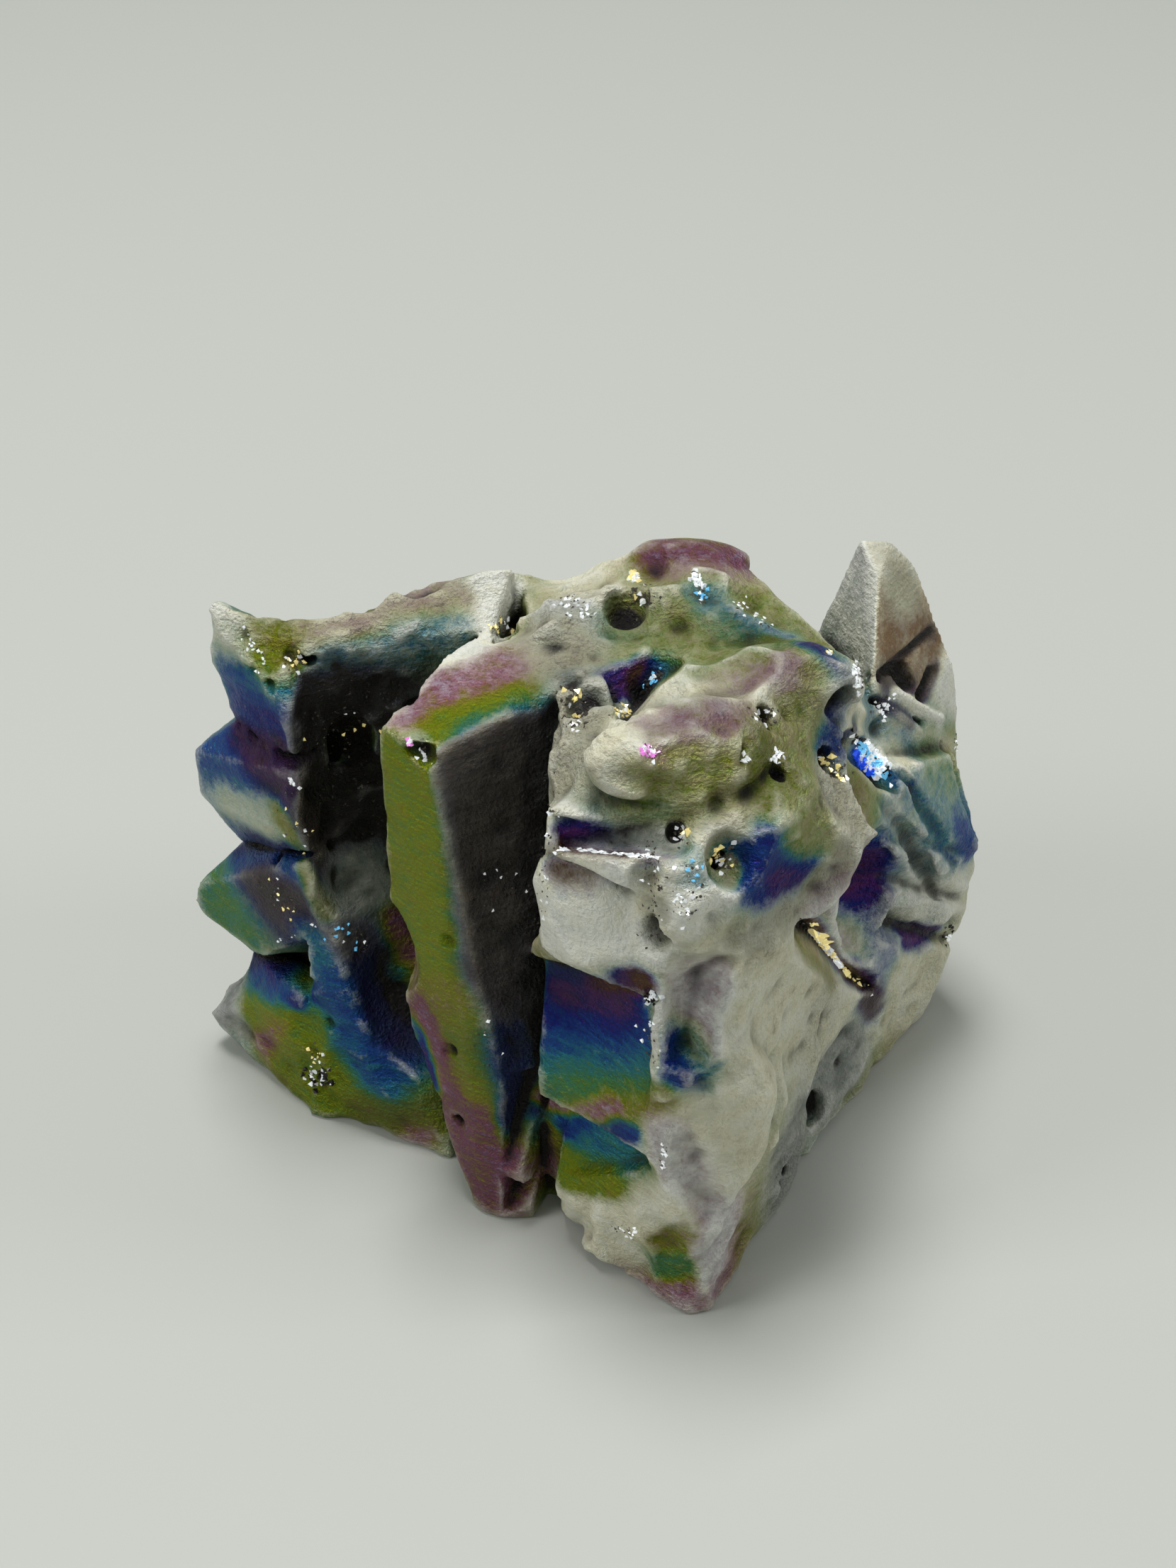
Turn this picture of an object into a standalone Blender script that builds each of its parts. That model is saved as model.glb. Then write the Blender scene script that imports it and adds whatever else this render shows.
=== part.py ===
"""Dragon head carved from one lump of sphalerite, lying on its cheek.

Metres, +Z up. The carver's layout below is in millimetres: X to the right, Y away
from the viewer, Z up from the resting face. The mouth opens to the front left, with
the lower jaw at the left, the tongue in the middle and the snout at the right, so
the animal's own left and right are up and down here.
"""

import math

import bmesh
import bpy
from mathutils import Matrix, Vector

MM = 0.001

# Driving dimensions, in millimetres
BASE_DEPTH = -3.0
SLOT_TOP = 60.0
SLOT_BEND = 22.5
BOX_MIDDLE_X = 0.05
BOX_MIDDLE_Y = -7.97

# The front plane that the snout, the tongue and the lower jaw were sawn to
NOSE_TIP = Vector((9.3, -34.8, 0.0))
ALONG_FRONT = Vector((-0.805, 0.593, 0.0))
OUT_OF_FRONT = Vector((-0.593, -0.805, 0.0))

# The way that the forehead and the bridge of the nose face
OUT_OF_BROW = Vector((0.848, -0.529, 0.0))

ROUGHNESS = 0.42
STONE_COLOUR = (0.42, 0.44, 0.40, 1.0)
COATING_METALLIC = 0.55


def clear_scene():
    for item in list(bpy.data.objects):
        bpy.data.objects.remove(item, do_unlink=True)


def stone_material():
    material = bpy.data.materials.new("coated_sphalerite")
    material.use_nodes = True
    shader = material.node_tree.nodes["Principled BSDF"]
    shader.inputs["Base Color"].default_value = STONE_COLOUR
    shader.inputs["Roughness"].default_value = ROUGHNESS
    shader.inputs["Metallic"].default_value = COATING_METALLIC
    return material


def front(along, out, z):
    """A point by its distance along the front plane from the nose tip, and out of it."""
    place = NOSE_TIP + ALONG_FRONT * along + OUT_OF_FRONT * out
    return (place.x, place.y, z)


def object_from(name, bm):
    bmesh.ops.recalc_face_normals(bm, faces=bm.faces)
    mesh = bpy.data.meshes.new(name)
    bm.to_mesh(mesh)
    bm.free()
    made = bpy.data.objects.new(name, mesh)
    bpy.context.scene.collection.objects.link(made)
    return made


def hull(name, points):
    """A closed convex solid round the points."""
    bm = bmesh.new()
    for point in points:
        bm.verts.new(Vector(point) * MM)
    made = bmesh.ops.convex_hull(bm, input=list(bm.verts))
    spare = {item for item in made["geom_interior"] + made["geom_unused"]}
    bmesh.ops.delete(bm, geom=[v for v in spare if isinstance(v, bmesh.types.BMVert)], context="VERTS")
    return object_from(name, bm)


def lump(name, centre, radii, turn=0.0, lean=0.0, rings=2):
    """An ellipsoid, turned about Z and then leant about Y, in degrees."""
    bm = bmesh.new()
    place = (
        Matrix.Translation(Vector(centre) * MM)
        @ Matrix.Rotation(math.radians(turn), 4, "Z")
        @ Matrix.Rotation(math.radians(lean), 4, "Y")
        @ Matrix.Diagonal((*[radius * MM for radius in radii], 1.0))
    )
    bmesh.ops.create_icosphere(bm, subdivisions=rings, radius=1.0, matrix=place)
    return object_from(name, bm)


def groove(name, start, end, out, width, reach, past=1.5):
    """A V-cut whose bottom runs from start to end, open along out and width wide there."""
    start, end, out = Vector(start), Vector(end), Vector(out).normalized()
    along = (end - start).normalized()
    across = along.cross(out).normalized() * (width / 2)
    start, end = start - along * past, end + along * past
    lift = out * reach
    corners = [start, end]
    for side in (across, -across):
        corners += [start + lift + side, end + lift + side]
    return hull(name, corners)


def wedge(apex, left, right, reach=1.9):
    """The three corners of a saw wedge that opens from its apex past two edges."""
    apex = Vector(apex)
    return [apex] + [apex + (Vector(edge) - apex) * reach for edge in (left, right)]


def slot(name, apex, left, right, floor):
    """A saw cut, upright above its bend and narrowing below it to the wedge at its floor."""
    upper = wedge((*apex, SLOT_TOP), (*left, SLOT_TOP), (*right, SLOT_TOP))
    bend = [Vector((corner.x, corner.y, SLOT_BEND)) for corner in upper]
    return [hull(name + "_upper", upper + bend), hull(name + "_lower", bend + wedge(*floor))]


def skull_masses():
    """The snout, the brain case and the cheek that faces up."""
    low, middle, high = BASE_DEPTH, 26.0, 47.5
    snout = [
        (9.6, -35.2, low), (9.2, -34.6, 4.0), (4.5, -31.4, low), (-3.2, -25.6, low),
        (15.0, -26.0, low), (18.5, -20.5, low), (-4.2, -25.0, 14.0), (3.2, -30.4, 17.0),
        (8.4, -30.6, 20.0), (13.6, -26.4, 20.0), (19.0, -21.6, 22.0), (-4.2, -25.0, middle),
        (3.4, -30.4, 33.0), (9.0, -30.6, 38.0), (13.6, -28.2, 43.0), (-3.0, -25.8, high),
        (5.2, -31.0, 46.0), (10.6, -30.4, high), (14.0, -26.8, high), (20.5, -17.5, 40.0),
        (-2.6, -8.0, low), (-2.6, -8.0, high), (22.0, -8.0, low), (22.0, -8.0, high),
    ]
    case = [
        (-3.0, -14.0, low), (17.5, -20.5, low), (22.5, -12.5, low), (31.6, 1.0, low),
        (30.0, 10.0, low), (12.0, 15.0, low), (-6.0, 15.0, low), (-3.0, -14.0, 49.0),
        (20.8, -15.4, 39.0), (26.6, -6.6, 32.0), (27.0, -7.0, 12.0), (20.5, -9.0, 48.0),
        (16.5, -1.5, 49.0), (13.0, 6.0, 49.0), (-6.0, 6.0, 48.5), (-8.0, 14.0, 40.0),
        (14.0, 15.0, 38.0), (27.0, 10.0, 32.0),
    ]
    cheek = [
        (-1.6, -24.0, 47.0), (4.0, -28.8, 47.0), (11.5, -28.0, 47.5), (18.6, -18.0, 47.0),
        (20.6, -10.0, 49.4), (16.8, -4.0, 49.8), (13.2, 2.0, 51.0), (9.0, 4.6, 52.4),
        (4.0, 4.6, 51.4), (-2.6, 3.6, 50.0), (-2.8, -12.0, 49.8), (0.6, -21.0, 50.2),
        (9.0, -22.0, 51.0), (16.0, -12.0, 50.8), (4.0, 10.0, 46.0), (13.0, 9.0, 46.0),
    ]
    return [hull("snout", snout), hull("brain_case", case), hull("upper_cheek", cheek)]


def lower_jaw_mass():
    rim = [(-33.0, -0.8, 50.6), (-25.0, -2.6, 50.2), (-14.0, 1.2, 51.0), (-6.0, 4.6, 51.2)]
    front_face = [
        (-27.0, -7.6, 46.6), (-23.4, -9.8, 44.6), (-34.2, -1.6, 45.0), (-36.0, -0.8, 34.0),
        (-36.8, -1.4, 4.0), (-34.0, -3.0, BASE_DEPTH), (-27.4, -9.6, BASE_DEPTH),
        (-12.0, -16.6, BASE_DEPTH), (-12.0, -16.6, 6.0), (-8.0, -3.0, 47.6), (-22.8, -10.8, 20.0),
    ]
    underside = [
        (-31.4, 6.0, 45.0), (-32.6, 7.0, 4.0), (-22.0, 14.0, 40.0), (-22.0, 15.0, BASE_DEPTH),
        (-4.0, 15.0, 44.0), (-3.0, 16.0, BASE_DEPTH), (-14.0, 10.0, 48.0),
    ]
    return hull("lower_jaw", rim + front_face + underside)


def tongue_mass():
    top = [(-16.2, -16.2, 48.4), (-12.0, -19.3, 47.8), (-2.3, -12.6, 49.8), (-8.0, -2.0, 49.8), (2.0, 0.0, 50.0)]
    strip = [
        (-16.6, -15.9, 28.0), (-10.8, -20.2, 29.0), (-15.0, -17.4, 15.0), (-9.2, -21.4, 16.0),
        (-11.6, -21.2, 5.0), (-5.6, -24.6, 5.0), (-9.0, -23.6, BASE_DEPTH), (-2.2, -23.4, BASE_DEPTH),
    ]
    root = [(2.0, -4.0, BASE_DEPTH), (-8.0, 2.0, BASE_DEPTH)]
    return hull("tongue", top + strip + root)


def horn_masses():
    """The ear horn that stands up at the back right, and the one that it lies on."""
    upper = [
        (23.4, 8.4, 50.2), (26.2, 8.8, 49.8), (24.8, 5.0, 49.0), (28.5, 9.0, 47.0), (33.0, 9.0, 36.4),
        (34.0, 9.0, 31.6), (34.4, 9.0, 25.0), (20.2, 9.0, 39.8), (18.6, 8.0, 30.0),
        (24.2, -1.0, 41.4), (25.4, -3.0, 33.0), (26.0, 14.5, 38.0), (24.0, 16.0, 26.0), (31.0, 14.5, 26.0),
    ]
    lower = [
        (30.0, 17.0, BASE_DEPTH), (27.6, 17.4, BASE_DEPTH), (29.0, 15.4, 5.0), (20.0, 8.0, BASE_DEPTH),
        (33.6, 6.0, BASE_DEPTH), (33.4, 5.0, 8.0), (32.0, 8.0, 17.0), (22.0, 12.0, 17.0),
    ]
    return [hull("upper_horn", upper), hull("lower_horn", lower)]


def mane_mass():
    """The swept crest behind the forehead, with its point at the far right."""
    crest = [
        (24.0, -9.0, 38.0), (27.2, -4.0, 34.6), (30.0, 4.0, 31.0), (33.6, 6.0, 29.0),
        (36.9, 4.0, 19.6), (36.6, 5.0, 14.0), (34.8, 4.0, 8.0), (34.4, 3.0, 3.0),
        (31.8, 1.0, BASE_DEPTH), (27.0, -7.0, 12.0), (26.0, -9.0, 24.0), (30.0, 14.0, 24.0),
        (32.0, 12.0, 6.0), (20.0, 12.0, 6.0), (20.0, 10.0, 32.0),
    ]
    return hull("mane", crest)


def nape_mass():
    """The stump of the neck, broken off at the back."""
    stump = [
        (-14.0, 12.0, 38.0), (22.0, 12.0, 34.0), (-16.0, 12.0, 4.0), (24.0, 12.0, 3.0),
        (-10.0, 17.4, 32.0), (16.0, 18.0, 30.0), (-12.0, 18.0, 8.0), (18.0, 17.6, 7.0),
        (2.0, 12.0, 46.0), (3.0, 19.0, 20.0),
    ]
    return hull("nape", stump)


def raised_details():
    """Nodules and petals that stand proud of the cheek, the lip and the nose."""
    return [
        lump("cheek_petal", (7.0, -22.2, 49.8), (6.6, 4.8, 4.0), turn=14, lean=-4),
        lump("petal_tip", (3.2, -24.6, 51.0), (3.4, 3.0, 2.6), turn=-20),
        lump("brow_petal", (12.0, -12.4, 49.6), (8.8, 4.0, 3.0), turn=26),
        lump("temple_knob", (4.0, -1.6, 50.6), (3.2, 3.0, 2.8)),
        lump("temple_knob_right", (9.4, -2.0, 51.0), (3.2, 3.0, 2.8)),
        lump("crest_roll", (8.4, 4.2, 50.6), (5.6, 2.4, 2.6)),
        lump("corner_knob", (-3.4, -4.0, 49.4), (3.0, 3.4, 2.4)),
        lump("brow_corner", (18.2, -10.6, 48.4), (3.6, 4.4, 3.0), turn=30),
        lump("lip_knob", (7.4, -29.8, 39.6), (2.8, 2.2, 3.6)),
        lump("nose_shoulder", (19.2, -17.4, 37.6), (3.6, 3.8, 6.6), turn=-30, lean=20),
        lump("nose_side", (13.8, -24.0, 19.0), (3.6, 3.0, 9.0), turn=-30, lean=8),
        lump("jaw_rim_nub", (-8.4, 4.4, 50.2), (2.6, 2.2, 2.6)),
    ]


def tooth_cuts():
    """Saw-tooth notches down the edge of the snout: each face leans out to a low crest."""
    from_edge, to_corner = 19.5, 6.6
    teeth = [
        ("lip_shelf", 47.6, 46.2, 44.8, 2.4), ("first_tooth", 44.0, 42.4, 34.4, 3.0),
        ("second_tooth", 32.8, 29.8, 18.4, 4.0), ("third_tooth", 16.6, 14.6, 6.4, 3.4),
        ("last_tooth", 5.0, 3.8, 1.0, 2.4),
    ]
    cuts = []
    for name, upper, valley, lower, depth in teeth:
        corners = []
        for along, deep in ((from_edge, depth), (to_corner, depth * 0.45)):
            corners.append(front(along, -deep, valley))
            corners.append(front(along, 0.6, upper))
            corners.append(front(along, 0.6, lower))
            corners.append(front(along, 4.0, upper + 0.6))
            corners.append(front(along, 4.0, lower - 1.6))
        cuts.append(hull(name, corners))
    return cuts


def jaw_spike_cuts():
    """V-cuts that leave four spikes on the front edge of the lower jaw."""
    out = Vector((-0.78, -0.62, 0.06))
    return [
        groove("jaw_gap_upper", (-29.6, -0.4, 36.6), (-24.6, -8.0, 38.4), out, 13.0, 7.6, 5.0),
        groove("jaw_gap_middle", (-30.4, -0.6, 23.0), (-24.0, -8.2, 27.0), out, 12.0, 7.6, 5.0),
        groove("jaw_gap_lower", (-30.8, -0.8, 9.6), (-24.6, -8.2, 14.4), out, 10.4, 7.6, 5.0),
    ]


def mouth_cuts():
    """The two wedges beside the tongue, and the hollow behind the lower teeth."""
    jaw_floor = ((-8.0, -1.5, 21.0), (-24.0, -10.0, 11.0), (-10.4, -21.6, -17.0))
    snout_floor = ((-2.3, -12.0, 4.0), (-4.9, -24.6, 1.0), (-4.0, -25.0, 0.6))
    hollow = [
        (-9.6, -2.6, SLOT_TOP), (-14.4, -2.8, SLOT_TOP), (-23.0, -5.2, SLOT_TOP),
        (-25.2, -10.8, SLOT_TOP), (-15.0, -10.0, SLOT_TOP), (-9.6, -2.6, 26.0), (-14.4, -3.4, 26.0),
        (-22.4, -6.6, 26.0), (-24.4, -10.9, 20.0), (-18.0, -9.0, 10.0), (-12.0, -6.0, 14.0),
    ]
    chamfer = [
        (-33.0, -2.6, 51.4), (-4.0, 3.6, 51.4), (-4.0, -3.0, 47.4), (-27.0, -9.0, 46.4),
        (-27.0, -9.0, SLOT_TOP), (-4.0, 3.6, SLOT_TOP), (-33.0, -2.6, SLOT_TOP), (-4.0, -3.0, SLOT_TOP),
    ]
    jaw_slot = slot("jaw_slot", (-8.0, -1.5), (-24.0, -10.0), (-17.0, -15.5), jaw_floor)
    snout_slot = slot("snout_slot", (-2.3, -12.0), (-11.0, -20.0), (-4.0, -25.0), snout_floor)
    return jaw_slot + snout_slot + [
        hull("jaw_hollow", hollow),
        hull("rim_chamfer", chamfer),
    ]


def nose_cuts():
    """Wheel cuts across the forehead, the nostril and the hollow of the cheek."""
    to_brow = OUT_OF_BROW
    return [
        groove("brow_cut", (15.6, -21.4, 34.4), (24.6, -8.2, 14.0), to_brow + Vector((0, 0, 0.2)), 6.4, 4.6, 0.5),
        groove("eye_cut", (19.0, -12.6, 46.6), (25.0, -6.0, 35.0), to_brow + Vector((0, 0, 0.5)), 5.4, 3.8),
        lump("nostril", (10.6, -29.4, 46.0), (2.2, 2.4, 2.6)),
        lump("cheek_hollow", (25.6, -12.4, 29.0), (4.6, 4.0, 9.0), turn=-30, lean=24),
        groove("under_brow", (16.6, -22.6, 6.0), (24.6, -9.8, 9.0), to_brow + Vector((0, 0, -0.4)), 9.0, 3.0),
        groove("eye_recess", (3.0, -13.4, 47.6), (6.8, -9.6, 48.6), (0.1, -0.1, 1.0), 5.4, 4.4, 0.4),
        groove("petal_gap", (3.0, -18.6, 49.0), (15.0, -16.8, 49.0), (0.0, 0.0, 1.0), 4.6, 3.6, 0.6),
    ]


def mane_cuts():
    """Swept grooves that part the crest into locks."""
    cuts = []
    for number in range(4):
        shift = number * 6.2
        start = (24.6 + number * 0.4, -8.6 + number * 1.6, 36.4 - shift)
        end = (37.4 - number * 0.2, 4.4 + number * 0.6, 23.6 - shift)
        out = (0.86, -0.48, 0.10)
        cuts.append(groove(f"mane_groove_{number + 1}", start, end, out, 4.6, 3.4, 3.0))
    for number in range(4):
        shift = number * 9.5
        start = (12.0 - shift, 14.4, 44.0)
        end = (17.0 - shift, 16.2, 3.0)
        cuts.append(groove(f"nape_groove_{number + 1}", start, end, (0.0, 1.0, 0.1), 6.4, 5.0, 3.0))
    for number in range(3):
        height = 12.0 + number * 13.0
        start = (-34.4, 1.6, height - 3.0)
        end = (-20.0, 12.4, height + 3.0)
        cuts.append(groove(f"chin_groove_{number + 1}", start, end, (-0.6, 0.8, 0.0), 6.0, 4.0, 3.0))
    return cuts


def druzy_pits():
    """Natural pockets of the lump, left open by the carver."""
    pits = [
        ((4.4, -0.4, 53.2), 2.0), ((9.6, -2.6, 53.6), 1.6), ((-6.6, -3.0, 50.6), 1.5),
        ((-1.6, -12.6, 50.8), 1.7), ((14.2, -17.2, 50.4), 1.8), ((19.6, -12.8, 48.6), 1.7),
        ((-12.6, -18.6, 48.8), 1.9), ((-29.6, -4.6, 46.6), 2.0), ((-26.6, -6.8, 44.4), 1.6),
        ((-28.4, -9.0, 1.6), 1.8), ((-20.0, -4.0, 38.0), 2.2), ((-14.4, -3.4, 40.4), 1.7),
        ((5.0, -30.6, 39.8), 1.7), ((24.6, -11.0, 20.0), 1.6), ((20.0, -14.6, 4.4), 1.6),
        ((-4.0, 18.9, 21.0), 2.2), ((16.4, 18.2, 12.0), 2.0), ((-27.0, 9.6, 30.0), 2.2),
    ]
    return [lump(f"pit_{number + 1}", centre, (size,) * 3) for number, (centre, size) in enumerate(pits)]


def cut_flat():
    """The sawn face that the head lies on."""
    far, deep = 60.0, -20.0
    return hull("base_cut", [(x, y, z) for x in (-far, far) for y in (-far, far) for z in (deep, 0.0)])


def carve(body, pieces, operation):
    for piece in pieces:
        piece.hide_render = True
        piece.display_type = "WIRE"
        cut = body.modifiers.new(piece.name, "BOOLEAN")
        cut.operation = operation
        cut.object = piece


def build():
    clear_scene()
    masses = skull_masses() + [lower_jaw_mass(), tongue_mass(), mane_mass(), nape_mass()]
    masses += horn_masses()
    head = masses[0]
    head.name = "dragon_head"
    head.data.materials.append(stone_material())
    carve(head, masses[1:] + raised_details(), "UNION")
    cutters = mouth_cuts() + jaw_spike_cuts() + tooth_cuts() + nose_cuts() + mane_cuts() + druzy_pits()
    carve(head, cutters + [cut_flat()], "DIFFERENCE")
    centre = bpy.data.objects.new("head_centre", None)
    bpy.context.scene.collection.objects.link(centre)
    for item in list(bpy.data.objects):
        if item.type == "MESH":
            item.parent = centre
    centre.location = Vector((-BOX_MIDDLE_X, -BOX_MIDDLE_Y, 0.0)) * MM


build()
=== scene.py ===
import math

import bmesh
import bpy
import numpy as np
import openvdb
from mathutils import Matrix, Vector


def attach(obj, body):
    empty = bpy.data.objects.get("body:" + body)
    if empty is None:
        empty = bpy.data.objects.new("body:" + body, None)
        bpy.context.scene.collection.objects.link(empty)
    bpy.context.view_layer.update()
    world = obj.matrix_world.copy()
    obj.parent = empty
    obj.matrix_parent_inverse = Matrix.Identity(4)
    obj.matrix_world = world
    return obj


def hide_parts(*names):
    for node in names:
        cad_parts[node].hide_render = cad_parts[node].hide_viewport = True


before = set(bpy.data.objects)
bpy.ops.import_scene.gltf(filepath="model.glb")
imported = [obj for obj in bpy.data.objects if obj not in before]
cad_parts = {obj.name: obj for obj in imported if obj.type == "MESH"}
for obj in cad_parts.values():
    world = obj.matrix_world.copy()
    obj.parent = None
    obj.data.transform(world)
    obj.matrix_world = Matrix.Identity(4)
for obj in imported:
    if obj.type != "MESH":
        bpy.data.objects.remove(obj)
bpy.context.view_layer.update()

# Places below are in the carver's layout: millimetres, X to the right, Y away from
# the viewer, Z up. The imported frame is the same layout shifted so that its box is
# centred on the origin.
MM = 0.001
LAYOUT_SHIFT = np.array([-0.05, 7.97, 0.0])

# The photo's camera, fitted to the outline: its height above the table and distance,
# and the pixel of the photo at which the layout's origin is seen
IMAGE_WIDTH = 1659
IMAGE_HEIGHT = 2212
FOCAL_PIXELS = 3000.0
SENSOR = 36.0
LOOK_DOWN = math.radians(38.0)
EYE_DISTANCE = 207.0
ORIGIN_PIXEL = (830.0, 1450.0)

# The grid that the stone is carved on, in millimetres and cells
VOXEL = 0.33
BAND = 9
MARGIN = 8
MOST_TRIANGLES = 192000

VIEW_FORWARD = np.array([0.0, math.cos(LOOK_DOWN), -math.sin(LOOK_DOWN)])
VIEW_RIGHT = np.array([1.0, 0.0, 0.0])
VIEW_UP = np.array([0.0, math.sin(LOOK_DOWN), math.cos(LOOK_DOWN)])
EYE = -(
    VIEW_FORWARD * EYE_DISTANCE
    + VIEW_RIGHT * ((ORIGIN_PIXEL[0] - IMAGE_WIDTH / 2) / FOCAL_PIXELS * EYE_DISTANCE)
    - VIEW_UP * ((ORIGIN_PIXEL[1] - IMAGE_HEIGHT / 2) / FOCAL_PIXELS * EYE_DISTANCE)
)


def to_frame(place):
    """A layout place as a frame place in metres."""
    return (np.asarray(place, float) + LAYOUT_SHIFT) * MM


def smooth_step(low, high, value):
    t = np.clip((value - low) / (high - low), 0.0, 1.0)
    return t * t * (3.0 - 2.0 * t)


def unit(vector):
    return vector / np.linalg.norm(vector)


# Shapes: each is its lowest corner, its highest corner and a measure of distance


def ball(centre, radii, turn=0.0, lean=0.0):
    """An ellipsoid, turned about Z and then leant about Y, in degrees."""
    centre = np.array(centre, float)
    radii = np.broadcast_to(np.array(radii, float), 3)
    turned = Matrix.Rotation(math.radians(turn), 3, "Z") @ Matrix.Rotation(math.radians(lean), 3, "Y")
    axes = np.array(turned).T

    def measure(x, y, z):
        x, y, z = x - centre[0], y - centre[1], z - centre[2]
        near = 0.0
        steep = 0.0
        for axis, radius in zip(axes, radii):
            along = x * axis[0] + y * axis[1] + z * axis[2]
            near = near + (along / radius) ** 2
            steep = steep + (along / radius**2) ** 2
        near = np.sqrt(near)
        return near * (near - 1.0) / np.maximum(np.sqrt(steep), 1e-6)

    return centre - radii.max(), centre + radii.max(), measure


def rope(places, sizes):
    """A rounded run through the places, as thick at each as its size says."""
    places = np.array(places, float)
    sizes = np.broadcast_to(np.array(sizes, float), len(places))

    def measure(x, y, z):
        nearest = np.float32(1e3)
        for start, end, thick, thin in zip(places, places[1:], sizes, sizes[1:]):
            run = end - start
            t = (x - start[0]) * run[0] + (y - start[1]) * run[1] + (z - start[2]) * run[2]
            t = np.clip(t / (run @ run), 0.0, 1.0)
            gap = np.sqrt(sum((c - s - t * r) ** 2 for c, s, r in zip((x, y, z), start, run)))
            nearest = np.minimum(nearest, gap - thick - (thin - thick) * t)
        return nearest

    return places.min(0) - sizes.max(), places.max(0) + sizes.max(), measure


def block(places):
    """The convex solid round the places."""
    bm = bmesh.new()
    for place in places:
        bm.verts.new(place)
    bmesh.ops.convex_hull(bm, input=list(bm.verts))
    places = np.array([tuple(place) for place in places], float)
    middle = places.mean(0)
    planes = []
    for face in bm.faces:
        normal = np.array(face.normal)
        level = normal @ np.array(face.verts[0].co)
        side = 1.0 if normal @ middle < level else -1.0
        planes.append((normal * side, level * side))
    bm.free()

    def measure(x, y, z):
        furthest = np.float32(-1e3)
        for normal, level in planes:
            furthest = np.maximum(furthest, x * normal[0] + y * normal[1] + z * normal[2] - level)
        return furthest

    return places.min(0), places.max(0), measure


def box(xs, ys, zs):
    """The solid between two values of x, of y and of z."""
    return block([(x, y, z) for x in xs for y in ys for z in zs])


def largest_shell(count, triangles, quads):
    """Which points belong to the outer surface, and not to a crumb or a bubble."""
    pairs = [quads[:, [0, 1]], quads[:, [1, 2]], quads[:, [2, 3]]]
    if len(triangles):
        pairs += [triangles[:, [0, 1]], triangles[:, [1, 2]]]
    first, second = np.concatenate(pairs).astype(int).T
    labels = np.arange(count)
    while True:
        lower = np.minimum(labels[first], labels[second])
        fresh = labels.copy()
        np.minimum.at(fresh, first, lower)
        np.minimum.at(fresh, second, lower)
        np.minimum.at(fresh, labels[first], lower)
        np.minimum.at(fresh, labels[second], lower)
        fresh = fresh[fresh]
        if (fresh == labels).all():
            return labels == np.bincount(labels).argmax()
        labels = fresh


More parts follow.
